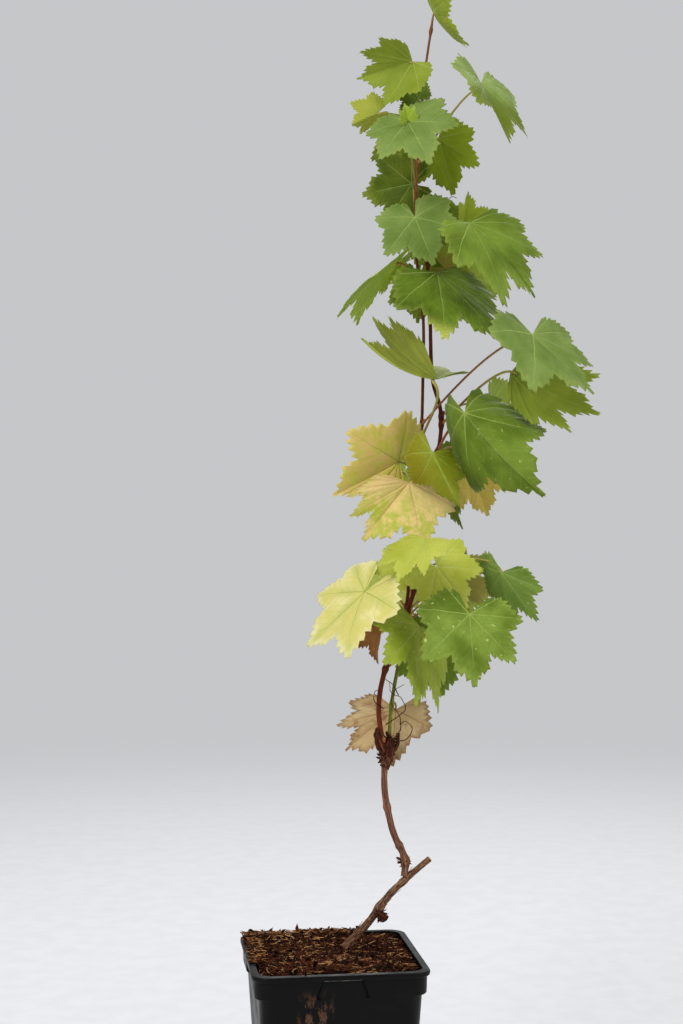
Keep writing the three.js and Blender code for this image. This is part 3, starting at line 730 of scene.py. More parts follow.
def add_stalk(form, leaf):
    """The stalk: thicker at its foot, sunk under the blade and tapered at its end."""
    line, at = spaced(stalk_points(leaf), 0.9)
    radius = stalk_radius(leaf)
    line = line - leaf_axes(leaf)[2] * (0.75 * radius * smooth(0.7, 1, at / at[-1]))[:, None]
    radii = radius * (0.86 + swelling(at, 0, 0.5, 4) + swelling(at, at[-1] - 3, 0.15, 3))
    radii *= 1 - 0.45 * smooth(at[-1] - 3, at[-1], at)
    add_tube(form, line, at / at[-1], radii, 12, 1)


def blade_faces(count):
    """Faces of the two skins and of the rim between them. The margin runs from left to right."""
    lower = count * BLADE_RINGS + 1
    near = 1 + np.arange(count - 1)
    inner = near[None] + count * np.arange(BLADE_RINGS - 1)[:, None]
    outer = inner + count
    top_fan = np.stack([np.zeros(count - 1, int), near + 1, near], -1)
    low_fan = np.stack([np.full(count - 1, lower), near + lower, near + lower + 1], -1)
    top = np.stack([inner, inner + 1, outer + 1, outer], -1).reshape(-1, 4)
    low = np.stack([inner, outer, outer + 1, inner + 1], -1).reshape(-1, 4) + lower
    first_side = 1 + count * np.arange(BLADE_RINGS - 1)
    last_side = first_side[::-1] + count - 1
    last_ring = 1 + count * (BLADE_RINGS - 1) + np.arange(count)
    start = np.concatenate([[0], first_side, last_ring, last_side])
    end = np.roll(start, -1)
    rim = np.stack([start, end, end + lower, start + lower], -1)
    return [top_fan, low_fan, top, low, rim]


# The pot and its compost
BAND_BOTTOM = POT_HEIGHT - BAND_DEPTH
BAND_SIDE = RIM_SIDE - 2 * LIP_OVERHANG
NOTCH_LINE = POT_HEIGHT - NOTCH_TOP
NOTCH_EDGE = NOTCH_WIDTH / 2
NOTCH_SLANT = 1.1
NOTCH_SPREAD = 5
SHARP_EDGE = 34
INNER_RADIUS = CORNER_RADIUS - WALL
CORNER_POINTS = 9
AXIS_STEPS = 8
RIGHT_STOPS = [0, 6, 12, NOTCH_EDGE - NOTCH_SLANT, NOTCH_EDGE + NOTCH_SLANT, 26, 36, 46]
POT_STOPS = sorted({sign * stop for stop in RIGHT_STOPS for sign in (-1, 1)})
BED_STOPS = range(-48, 49, 16)
BANK_HEIGHT = 3.6
RIM_HEIGHT = POT_HEIGHT + 0.9
FIBRE_RINGS = 5
BOX_CORNERS = np.array([[x, y, z] for z in (-1, 1) for y in (-1, 1) for x in (-1, 1)], float) / 2
BOX_FACES = np.array([[0, 2, 3, 1], [4, 5, 7, 6], [0, 1, 5, 4], [2, 6, 7, 3], [0, 4, 6, 2], [1, 3, 7, 5]])
foot_in_pot = from_vine([TRUNK_FOOT])[0]


def heading(angle):
    return np.array([math.cos(angle), math.sin(angle)])


def square_ring(side, height, radius, stops):
    """A level square with rounded corners, anticlockwise, with extra points along each side."""
    reach = side / 2 - radius
    ring = []
    for corner in range(4):
        centre = math.sqrt(2) * reach * heading(math.pi / 2 * corner + math.pi / 4)
        for step in range(CORNER_POINTS):
            ring.append(centre + radius * heading(math.pi / 2 * (corner + step / (CORNER_POINTS - 1))))
        outward = heading(math.pi / 2 * (corner + 1))
        sideways = np.array([-outward[1], outward[0]])
        ring += [outward * side / 2 + sideways * stop for stop in stops]
    return np.column_stack([ring, np.full(len(ring), height)])


def wall_side(height):
    """The wall's outer side at a height."""
    return BASE_SIDE + (BAND_SIDE - 2 * BAND_OVERHANG - BASE_SIDE) * height / POT_HEIGHT


def inner_side(height):
    return wall_side(height) - 2 * WALL


def notched(ring, height):
    """A ring of the band, stepped in where the notches interrupt it. They widen downwards."""
    notch_face = BAND_SIDE / 2 - NOTCH_DEPTH
    fall = (NOTCH_LINE - height) / (BAND_DEPTH - NOTCH_TOP)
    for axis in (0, 1):
        along = ring[:, 1 - axis]
        on_side = np.abs(ring[:, axis]) > notch_face
        inside = (np.abs(along) < NOTCH_EDGE) & on_side
        at_edge = (np.abs(np.abs(along) - NOTCH_EDGE) < NOTCH_SLANT + 0.1) & on_side
        ring[inside, axis] = np.sign(ring[inside, axis]) * max(notch_face, wall_side(height) / 2 + 0.15)
        ring[at_edge, 1 - axis] += np.sign(along[at_edge]) * NOTCH_SPREAD * fall
    return ring


def make_pot():
    """The pot: rings up its outer side and down its inner one, and its floor with the drain holes."""
    form = Form()
    lip = POT_HEIGHT - LIP_HEIGHT
    foot = BAND_SIDE - BAND_TAPER
    wall = [
        (BASE_SIDE - 3, 0), (BASE_SIDE - 0.8, 0.5), (BASE_SIDE, 1.8),
        *((wall_side(height), height) for height in (40, 80, 120, 160, BAND_BOTTOM - 0.6)),
        (wall_side(BAND_BOTTOM) + 0.4, BAND_BOTTOM - 0.2),
    ]
    band = [
        (foot - 0.8, BAND_BOTTOM - 0.1), (foot, BAND_BOTTOM + 0.5), (foot + 0.3, BAND_BOTTOM + 6),
        (foot + 0.6, NOTCH_LINE - 0.5),
    ]
    rim = [
        (foot + 0.6, NOTCH_LINE), (BAND_SIDE - 0.2, lip - 0.9), (RIM_SIDE - 1.4, lip - 0.6),
        (RIM_SIDE - 0.3, lip + 0.1), (RIM_SIDE, lip + 1.2), (RIM_SIDE, POT_HEIGHT - 1.3),
        (RIM_SIDE - 0.7, POT_HEIGHT - 0.3), (RIM_SIDE - 2.2, POT_HEIGHT),
    ]
    inside = [
        (inner_side(POT_HEIGHT) + 1, POT_HEIGHT), (inner_side(POT_HEIGHT), lip - 1),
        *((inner_side(height), height) for height in (160, 100, 40, FLOOR_THICKNESS)),
    ]
    rings = np.array([
        *(square_ring(side, height, CORNER_RADIUS, POT_STOPS) for side, height in wall),
        *(notched(square_ring(side, height, CORNER_RADIUS, POT_STOPS), height) for side, height in band),
        *(square_ring(side, height, CORNER_RADIUS, POT_STOPS) for side, height in rim),
        *(square_ring(side, height, INNER_RADIUS, POT_STOPS) for side, height in inside),
    ])
    form.add(rings.reshape(-1, 3), [ring_faces(len(rings), len(rings[0]))])
    for (low_loop, low_drain), (high_loop, _) in zip(floor_quarters(rings[0]), floor_quarters(rings[-1])):
        high_drain = low_drain + [0, 0, FLOOR_THICKNESS]
        add_band(form, low_drain, low_loop)
        add_band(form, high_loop, high_drain)
        add_band(form, high_drain, low_drain)
    return form


def floor_quarters(ring):
    """The floor's four quarters, each an anticlockwise loop round one corner and the middle, with
    the drain hole's edge that faces each of its points."""
    block = CORNER_POINTS + len(POT_STOPS)
    middles = [(corner - 1) * block + CORNER_POINTS + len(POT_STOPS) // 2 for corner in range(5)]
    centre = np.array([0, 0, ring[0, 2]])
    inward = np.linspace(0, 1, AXIS_STEPS + 1)[1:, None]
    quarters = []
    for corner in range(4):
        part = ring[np.arange(middles[corner], middles[corner + 1] + 1) % len(ring)]
        to_middle = part[-1] + (centre - part[-1]) * inward
        from_middle = (centre + (part[0] - centre) * inward)[:-1]
        loop = np.vstack([part, to_middle, from_middle])
        way = heading(math.pi / 4 * (2 * corner + 1))
        drain = DRAIN_SPACING / math.sqrt(2) * np.array([*way, 0]) + centre
        quarters.append((loop, drain + DRAIN_HOLE / 2 * unit(loop - drain)))
    return quarters


def add_band(form, one, other):
    """Faces between two loops of as many points, with one on the right of the way round."""
    count = len(one)
    near = np.arange(count)
    far = (near + 1) % count
    form.add(np.vstack([one, other]), [np.stack([near, far, far + count, near + count], -1)])


def welded(piece):
    """Joins points that lie on each other, and shades the sharp edges as edges."""
    mesh = bmesh.new()
    mesh.from_mesh(piece.data)
    bmesh.ops.remove_doubles(mesh, verts=mesh.verts, dist=0.01 * MILLIMETRE)
    mesh.to_mesh(piece.data)
    mesh.free()
    piece.data.set_sharp_from_angle(angle=math.radians(SHARP_EDGE))
    return piece


def soil_height(x, y, share):
    """The compost's top over a place, by its share of the way from the cutting's foot to the wall."""
    heap = HEAP_HEIGHT * (HEAP_LEAN + 0.15 - x / RIM_SIDE)
    rise = smooth(0.1, 0.4, share) * (1 - smooth(0.84, 1, share))
    drop = -SOIL_EDGE_DROP * smooth(0.86, 1, share)
    banked = smooth(0, 60, y - 0.7 * x - 20) * smooth(0.6, 0.84, share)
    return SOIL_LEVEL + (heap * rise + drop) * (1 - banked) + BANK_HEIGHT * banked


def make_bed():
    """The compost in the pot: a lumpy heap, closed below by the pot's walls and floor."""
    form = Form()
    edge = square_ring(inner_side(SOIL_LEVEL), SOIL_LEVEL, INNER_RADIUS, BED_STOPS)
    rings = [square_ring(inner_side(height) - 0.2, height, INNER_RADIUS, BED_STOPS)
             for height in (FLOOR_THICKNESS + 0.3, 60, 120, 180)]
    for share in np.linspace(1, 0.02, 34):
        place = foot_in_pot + (edge - foot_in_pot) * share
        place[:, 2] = soil_height(place[:, 0], place[:, 1], share)
        lumps = rough(place * [1, 1, 0], 7, 3) * 1.6 + rough(place * [1, 1, 0], 3, 4) * 0.8
        place[:, 2] += lumps * min(1, 4 * (1.02 - share))
        rings.append(place)
    form.add(*closed_rings(np.array(rings)))
    return form


def soil_places(rng, count):
    """Places spread over the compost's top, with its height there."""
    wall = wall_side(SOIL_LEVEL) / 2 - WALL
    x = rng.uniform(3 - wall, wall - 3, count)
    y = rng.uniform(3 - wall, wall - 3, count)
    away = np.column_stack([x, y]) - foot_in_pot[:2]
    shares = [way / (np.where(way > 0, wall, -wall) - foot) for foot, way in zip(foot_in_pot[:2], away.T)]
    return np.column_stack([x, y, soil_height(x, y, np.max(shares, axis=0))])


def rim_places(rng, count):
    """Places over the pot's back and left rim, where the compost is banked up over it."""
    along = rng.uniform(-72, 40, count)
    across = rng.uniform(60, 73, count)
    at_back = rng.uniform(0, 1, count) < 0.62
    x = np.where(at_back, along, -across)
    y = np.where(at_back, across, -along * 0.9 + 6)
    return np.column_stack([x, y, np.full(count, RIM_HEIGHT)])


def turned(points, rng, most_tilt):
    """Points of many small pieces (n, k, 3), each turned about the upright and tilted a little."""
    count = len(points)
    spin = rng.uniform(0, 2 * math.pi, count)
    tilt = rng.normal(0, most_tilt, (count, 2))
    cos, sin = np.cos(spin)[:, None], np.sin(spin)[:, None]
    x, y, z = np.moveaxis(points, -1, 0)
    flat_x, flat_y = x * cos - y * sin, x * sin + y * cos
    z = z + flat_x * np.tan(tilt[:, :1]) + flat_y * np.tan(tilt[:, 1:])
    return np.stack([flat_x, flat_y, z], -1)


def make_chips(seed, count, shortest, longest, sunk, places_of=soil_places):
    """Chips of bark: skewed flat boxes that lie about on the compost."""
    form = Form()
    rng = np.random.default_rng(seed)
    length = shortest + (longest - shortest) * rng.uniform(0, 1, count) ** 2.2
    width = length * rng.uniform(0.1, 0.34, count)
    thickness = rng.uniform(0.5, 1.3, count)
    sizes = np.stack([length, width, thickness], -1)[:, None]
    corners = BOX_CORNERS[None] * (1 + rng.uniform(-0.45, 0.25, (count, 8, 3))) * sizes
    corners = turned(corners, rng, 0.3)
    places = places_of(rng, count)
    places[:, 2] += thickness * 0.5 - sunk + rng.uniform(0, 1.2, count)
    faces = BOX_FACES[None] + 8 * np.arange(count)[:, None, None]
    form.add((corners + places[:, None]).reshape(-1, 3), [faces.reshape(-1, 4)])
    return form


def make_fibres(seed, count, shortest, longest, places_of=soil_places):
    """Thin curved fibres of coir and straw that lie over the chips."""
    form = Form()
    rng = np.random.default_rng(seed)
    places = places_of(rng, count)
    reach = np.abs(places[:, :2]).max() + 1.8
    share = np.linspace(-0.5, 0.5, FIBRE_RINGS)
    for place in places:
        length = rng.uniform(shortest, longest)
        way = rng.uniform(0, 2 * math.pi) + rng.normal(0, 0.25) * share * 4
        rise = 2.1 + 1.6 * rng.normal() * share + rng.uniform(-1, 1.5) * share**2
        line = np.column_stack([np.cos(way) * share * length, np.sin(way) * share * length, rise])
        line[:, :2] = np.clip(line[:, :2] + place[:2], -reach, reach)
        line[:, 2] += place[2] - 0.4
        rings, _ = tube(line, np.full(FIBRE_RINGS, rng.uniform(0.2, 0.5)), 4)
        form.add(*closed_rings(rings))
    return form


# Materials. Colours are given as a screen shows them, from 0 to 255


def linear(red, green, blue):
    """A screen's colour as the shaders take it."""
    return (*(((value / 255 + 0.055) / 1.055) ** 2.4 if value > 10 else value / 3295
              for value in (red, green, blue)), 1.0)


class Graph:
    """The nodes of one material, made by short calls that return their output."""

    def __init__(self, name):
        self.material = bpy.data.materials.new(name)
        self.material.use_nodes = True
        self.tree = self.material.node_tree
        self.shader = self.tree.nodes["Principled BSDF"]

    def feed(self, socket, value):
        """Links an output to a socket, or sets the socket to a constant."""
        if hasattr(value, "is_output"):
            self.tree.links.new(value, socket)
        else:
            socket.default_value = value

    def put(self, kind, inputs, **settings):
        node = self.tree.nodes.new(kind)
        for key, value in settings.items():
            setattr(node, key, value)
        for key, value in inputs.items():
            self.feed(node.inputs[key], value)
        return node

    def math(self, operation, *values, clamp=False):
        node = self.put("ShaderNodeMath", dict(enumerate(values)), operation=operation, use_clamp=clamp)
        return node.outputs[0]

    def times(self, value, *others):
        for other in others:
            value = self.math("MULTIPLY", value, other)
        return value

    def plus(self, value, *others):
        for other in others:
            value = self.math("ADD", value, other)
        return value

    def minus(self, value, other):
        return self.math("SUBTRACT", value, other)

    def size(self, value):
        return self.math("ABSOLUTE", value)

    def mix(self, factor, one, other, blend="MIX"):
        """One colour mixed with another, each an output or a screen's colour."""
        one, other = (linear(*colour) if isinstance(colour, tuple) else colour for colour in (one, other))
        inputs = {0: factor, 6: one, 7: other}
        return self.put("ShaderNodeMix", inputs, data_type="RGBA", blend_type=blend).outputs[2]

    def ramp(self, value, low, high, start=0.0, end=1.0):
        inputs = {"Value": value, "From Min": low, "From Max": high, "To Min": start, "To Max": end}
        return self.put("ShaderNodeMapRange", inputs, interpolation_type="SMOOTHSTEP").outputs[0]

    def attribute(self, name):
        node = self.put("ShaderNodeAttribute", {}, attribute_name=name, attribute_type="GEOMETRY")
        return node.outputs["Vector"]

    def place(self):
        return self.put("ShaderNodeTexCoord", {}).outputs["Object"]

    def scaled(self, vector, factors):
        return self.put("ShaderNodeVectorMath", {0: vector, 1: factors}, operation="MULTIPLY").outputs[0]

    def parts(self, vector):
        return self.put("ShaderNodeSeparateXYZ", {0: vector}).outputs

    def noise(self, vector, scale, detail=2.0, roughness=0.5):
        inputs = {"Vector": vector, "Scale": scale, "Detail": detail, "Roughness": roughness}
        return self.put("ShaderNodeTexNoise", inputs).outputs["Fac"]

    def bump(self, height, strength, distance):
        inputs = {"Height": height, "Strength": strength, "Distance": distance}
        return self.put("ShaderNodeBump", inputs).outputs[0]

    def finish(self, specular, **inputs):
        """The material, with the inputs of its shader by their names in lower case."""
        self.feed(self.shader.inputs["Specular IOR Level"], specular)
        for key, value in inputs.items():
            self.feed(self.shader.inputs[key.replace("_", " ").title()], value)
        return self.material


def bark_material(name, dark, light, pale, stretch, relief):
    """Bark with fibres that run along the limb: dark cracks, a middle tone and paler shreds."""
    graph = Graph(name)
    grain = graph.scaled(graph.attribute("grain"), (2.2, 2.2, 0.1 * stretch))
    fibres = graph.noise(grain, 2.4, 4.0, 0.65)
    shreds = graph.noise(graph.scaled(grain, (1.0, 1.0, 0.6)), 1.3, 3.0, 0.6)
    colour = graph.mix(graph.ramp(fibres, 0.40, 0.56), dark, light)
    colour = graph.mix(graph.ramp(shreds, 0.52, 0.64, 0.0, 0.8), colour, pale)
    roughness = graph.ramp(fibres, 0.3, 0.7, 0.75, 0.95)
    normal = graph.bump(fibres, relief, 0.0008)
    return graph.finish(0.1, base_color=colour, roughness=roughness, normal=normal)


def shoot_material(name, low, middle, high, levels):
    """Young bark that changes up the shoot, with fine lengthwise lines and darker blotches."""
    graph = Graph(name)
    height = graph.parts(graph.place())[2]
    lines = graph.noise(graph.scaled(graph.attribute("grain"), (2.0, 2.0, 0.05)), 3.0, 3.0, 0.6)
    blotches = graph.noise(graph.place(), 90.0, 2.0)
    colour = graph.mix(graph.ramp(height, levels[0], levels[1]), low, middle)
    colour = graph.mix(graph.ramp(height, levels[1], levels[2]), colour, high)
    darker = graph.mix(1.0, colour, (150, 120, 105), "MULTIPLY")
    colour = graph.mix(graph.ramp(lines, 0.35, 0.6), darker, colour)
    colour = graph.mix(graph.ramp(blotches, 0.55, 0.75, 0.0, 0.5), colour, darker)
    return graph.finish(0.14, base_color=colour, roughness=0.5, normal=graph.bump(lines, 0.25, 0.0004))


def plain_grain(name, dark, light, scale, roughness=0.9, relief=0.4):
    """A dull material that varies from grain to grain and within each."""
    graph = Graph(name)
    spots = graph.noise(graph.place(), scale, 3.0, 0.6)
    broad = graph.noise(graph.place(), scale * 0.14, 1.0)
    value = graph.plus(graph.times(spots, 0.6), graph.times(broad, 0.4))
    colour = graph.mix(graph.ramp(value, 0.36, 0.64), dark, light)
    normal = graph.bump(spots, relief, 0.0006)
    return graph.finish(0.05, base_color=colour, roughness=roughness, normal=normal)


def pot_material():
    """Black moulded plastic, a little glossy, with dust, wiping marks and smears of peat. The front
    notch has a worn ledge over it, and painted shade in a dark line down each of its slanted sides. Places
    are in millimetres."""
    graph = Graph("pot_plastic")
    place = graph.place()
    x, y, z = graph.parts(graph.scaled(place, (1 / MILLIMETRE,) * 3))
    clouds = graph.noise(place, 38.0, 4.0, 0.6)
    streaks = graph.noise(graph.scaled(place, (1.0, 1.0, 0.45)), 150.0, 4.0, 0.7)
    base = graph.mix(graph.ramp(clouds, 0.5, 0.74, 0.0, 0.3), (4, 4, 4), (27, 24, 23))
    front = graph.ramp(y, -60, -66)
    off_middle = graph.size(x)
    ledge = graph.ramp(graph.size(graph.minus(z, NOTCH_LINE + 0.1)), 1.1, 0.4)
    over_notch = graph.ramp(off_middle, NOTCH_EDGE + 1, NOTCH_EDGE - 0.5)
    worn = graph.times(ledge, over_notch, front, graph.ramp(streaks, 0.36, 0.6, 0.25, 1))
    base = graph.mix(worn, base, (118, 114, 102))
    # Painted shade: a dark line down each slanted side of the notch, where its recessed edge falls into
    # shadow.
    edge = graph.ramp(z, NOTCH_LINE, BAND_BOTTOM, NOTCH_EDGE, NOTCH_EDGE + NOTCH_SPREAD)
    off_edge = graph.size(graph.minus(off_middle, edge))
    over_foot = graph.ramp(z, BAND_BOTTOM - 0.8, BAND_BOTTOM)
    under_ledge = graph.ramp(z, NOTCH_LINE + 1.2, NOTCH_LINE + 0.4)
    groove = graph.times(graph.ramp(off_edge, 1.8, 0.8), over_foot, under_ledge, front)
    base = graph.mix(groove, base, (2, 2, 2))
    off_smear = graph.size(graph.plus(x, graph.times(graph.minus(clouds, 0.5), 30), 23))
    smear = graph.times(front, graph.ramp(off_smear, 17, 7), graph.ramp(z, 190, 172))
    mud = graph.times(smear, graph.ramp(streaks, 0.46, 0.58))
    colour = graph.mix(graph.times(mud, 0.85), base, (92, 64, 46))
    roughness = graph.plus(graph.ramp(clouds, 0.35, 0.7, 0.34, 0.56), graph.times(mud, 0.3))
    relief = graph.plus(graph.times(graph.noise(place, 700.0, 2.0), 0.4), graph.times(mud, 0.8))
    return graph.finish(0.12, base_color=colour, roughness=roughness, normal=graph.bump(relief, 0.25, 0.0004))


def stalk_material(name, foot, tip):
    """A leaf's stalk: one tone at the shoot, another at the blade, with fine lengthwise lines."""
    graph = Graph(name)
    grain = graph.attribute("grain")
    lines = graph.noise(graph.scaled(grain, (2.0, 2.0, 0.8)), 3.0, 2.0)
    colour = graph.mix(graph.ramp(graph.parts(grain)[2], 0.0, 1.0), foot, tip)
    colour = graph.mix(graph.ramp(lines, 0.3, 0.7, 0.35, 0.0), colour, (96, 58, 40))
    return graph.finish(0.15, base_color=colour, roughness=0.5, normal=graph.bump(lines, 0.2, 0.0003))


def vein_lines(graph, blade, x, y):
    """The main and the side veins of a blade as lines of 1 on 0, from its flat place, and how far
    that place is beside a main vein and from a side vein."""
    shift = graph.times(graph.minus(graph.noise(blade, 5.0, 1.0), 0.5), 0.09)
    across = graph.size(x)
    share = graph.math("SQRT", graph.plus(graph.math("POWER", across, 2.0), graph.math("POWER", y, 2.0)))
    angle = graph.math("ARCTAN2", across, y)
    middle = 0.0
    middles = [math.radians(value) for value in VEIN_ANGLES]
    for before, after in zip(middles, middles[1:]):
        past = graph.math("GREATER_THAN", angle, (before + after) / 2)
        middle = graph.plus(middle, graph.times(past, after - before))
    off_vein = graph.plus(graph.minus(angle, middle), graph.times(shift, 0.8))
    along = graph.times(share, graph.math("COSINE", off_vein))
    signed = graph.times(share, graph.math("SINE", off_vein))
    beside = graph.size(signed)
    width = graph.ramp(share, 0.0, 1.0, 0.0080, 0.0025)
    main = graph.minus(1.0, graph.ramp(graph.math("DIVIDE", beside, width), 0.4, 1.3))
    main = graph.times(main, graph.ramp(share, 0.3, 1.1, 1.0, 0.35))
    phase = graph.plus(
        graph.math("DIVIDE", graph.minus(along, graph.times(beside, VEIN_SLANT)), VEIN_PITCH),
        graph.times(graph.math("GREATER_THAN", signed, 0.0), 0.5),
        graph.times(graph.math("GREATER_THAN", x, 0.0), 0.3),
        graph.times(shift, 6.0),
    )
    from_line = graph.math("PINGPONG", phase, 0.5)
    side = graph.times(graph.minus(1.0, graph.ramp(from_line, 0.006, 0.045)), graph.ramp(share, 0.06, 0.2))
    return main, side, beside, from_line


def wash_factor(graph, x, y, clock, start, end):
    """A factor that rises across the blade along a clock direction, from start to end in leaf sizes."""
    east, north = math.sin(math.radians(clock)), math.cos(math.radians(clock))
    return graph.ramp(graph.plus(graph.times(x, east), graph.times(y, north)), start, end)


def leaf_material(name, tone, washes, change):
    """A leaf's blade. Its tone gives the colours of both faces and the veins, and how strongly
    patches, a paler margin and small spots show. A wash is a colour laid over one side or tip; most are the
    leaf's own tint, and one is painted shade over a half in shadow."""
    tone = {**PLAIN_TONE, **TONES[tone], **change}
    graph = Graph(name)
    blade = graph.attribute("blade")
    x, y, is_under = graph.parts(blade)
    main, side, beside, from_line = vein_lines(graph, blade, x, y)
    edge = graph.parts(graph.attribute("margin"))[0]
    broad = graph.noise(graph.place(), 34.0, 2.0, 0.55)
    fine = graph.noise(graph.place(), 420.0, 2.0, 0.6)
    upper = graph.mix(graph.ramp(broad, 0.3, 0.7), *tone["upper"])
    near_veins = graph.plus(graph.ramp(beside, 0.13, 0.0), graph.ramp(from_line, 0.3, 0.0, 0.0, 0.25))
    near_veins = graph.math("MULTIPLY", near_veins, graph.ramp(broad, 0.3, 0.6), clamp=True)
    upper = graph.mix(graph.times(near_veins, tone["halo"]), upper, tone["halo_colour"])
    if tone["patch"]:
        patches = graph.noise(graph.place(), tone["patch_scale"], 3.0, 0.62)
        patched = graph.ramp(patches, 0.56 - 0.25 * tone["patch"], 0.78 - 0.2 * tone["patch"])
        upper = graph.mix(patched, upper, tone["patch_colour"])
    for colour, clock, start, end in washes:
        factor = wash_factor(graph, x, y, clock, start, end)
        factor = graph.times(factor, graph.ramp(broad, 0.2, 0.6, 0.75, 1.0))
        upper = graph.mix(factor, upper, colour)
    rim = graph.plus(edge, graph.times(broad, 0.16))
    upper = graph.mix(graph.ramp(rim, 0.9, 1.1, 0.0, tone["rim"]), upper, tone["rim_colour"])
    if tone["spots"]:
        spots = graph.noise(graph.place(), 240.0, 1.0)
        upper = graph.mix(graph.ramp(spots, 0.70, 0.76, 0.0, tone["spots"]), upper, SPOT_COLOUR)
    upper = graph.mix(graph.times(main, tone["vein"]), upper, tone["vein_colour"])
    upper = graph.mix(graph.times(side, tone["vein"] * 0.26), upper, tone["vein_colour"])
    upper = graph.mix(graph.ramp(fine, 0.35, 0.65, 0.0, 0.22), upper, tone["upper"][0])
    under = graph.mix(graph.ramp(broad, 0.3, 0.7), *tone["under"])
    under = graph.mix(graph.times(main, 0.7), under, tone["vein_colour"])
    under = graph.mix(graph.times(side, 0.3), under, tone["vein_colour"])
    colour = graph.mix(is_under, upper, under)
    relief = graph.plus(graph.times(from_line, 1.6), graph.times(fine, 0.25))
    normal = graph.bump(graph.minus(relief, graph.times(main, 0.5)), 0.22, 0.0005)
    roughness = graph.ramp(fine, 0.3, 0.7, 0.52, 0.66)
    return graph.finish(0.12, base_color=colour, roughness=roughness, normal=normal)


# The leaves' tones, with the darker and the lighter colour of each face
SPOT_COLOUR = (206, 208, 124)
PLAIN_TONE = {
    "halo": 0.25, "patch": 0, "patch_scale": 60.0, "patch_colour": (196, 190, 96), "rim": 0.25,
    "rim_colour": (170, 180, 84), "spots": 0.0, "vein": 0.7, "vein_colour": (160, 178, 92),
}
TONES = {
    "fresh": {
        "upper": [(88, 110, 26), (114, 138, 44)], "halo_colour": (118, 140, 54),
        "under": [(112, 130, 32), (130, 146, 46)],
    },
    # Cool green: the leaf's own green, with the sky's bluish sheen painted into its upper face.
    "cool_sheen": {
        "upper": [(98, 122, 48), (122, 144, 70)], "halo_colour": (130, 150, 82),
        "under": [(118, 136, 46), (132, 148, 58)],
    },
    "yellow_green": {
        "upper": [(124, 142, 28), (150, 164, 46)], "halo_colour": (152, 164, 68),
        "under": [(122, 138, 38), (140, 154, 52)],
    },
    "lime": {
        "upper": [(164, 172, 54), (190, 194, 82)], "halo_colour": (172, 184, 82),
        "under": [(162, 172, 74), (178, 186, 90)], "vein_colour": (198, 210, 130),
        "rim_colour": (202, 206, 110),
    },
    "olive": {
        "upper": [(84, 102, 18), (106, 124, 28)], "halo_colour": (112, 128, 36),
        "under": [(94, 112, 20), (112, 128, 28)], "vein_colour": (140, 158, 84),
    },
    "cream": {
        "upper": [(208, 200, 110), (230, 220, 154)], "halo": 0.7, "halo_colour": (176, 182, 84),
        "under": [(206, 206, 130), (220, 218, 150)], "vein": 0.9, "vein_colour": (158, 170, 76),
        "rim": 0.6, "rim_colour": (232, 226, 176),
    },
    "yellow": {
        "upper": [(196, 188, 72), (216, 204, 98)], "halo": 0.35, "halo_colour": (176, 184, 84),
        "under": [(196, 190, 104), (208, 202, 124)], "vein_colour": (178, 174, 92),
        "patch": 0.6, "patch_scale": 90.0, "patch_colour": (222, 190, 116),
        "rim": 0.5, "rim_colour": (214, 204, 124),
    },
    "mottled": {
        "upper": [(164, 176, 60), (206, 200, 92)], "halo": 0.6, "halo_colour": (214, 178, 112),
        "under": [(170, 172, 92), (188, 184, 110)], "vein_colour": (188, 138, 96),
        "patch": 0.7, "patch_scale": 90.0, "patch_colour": (224, 196, 126), "rim": 0.3,
    },
    "dried": {
        "upper": [(196, 168, 120), (222, 198, 150)], "halo": 0.3, "halo_colour": (160, 112, 66),
        "under": [(180, 146, 100), (200, 168, 120)], "vein_colour": (140, 98, 60),
        "patch": 0.25, "patch_scale": 70.0, "patch_colour": (160, 116, 70),
        "rim": 0.7, "rim_colour": (110, 66, 38),
    },
}

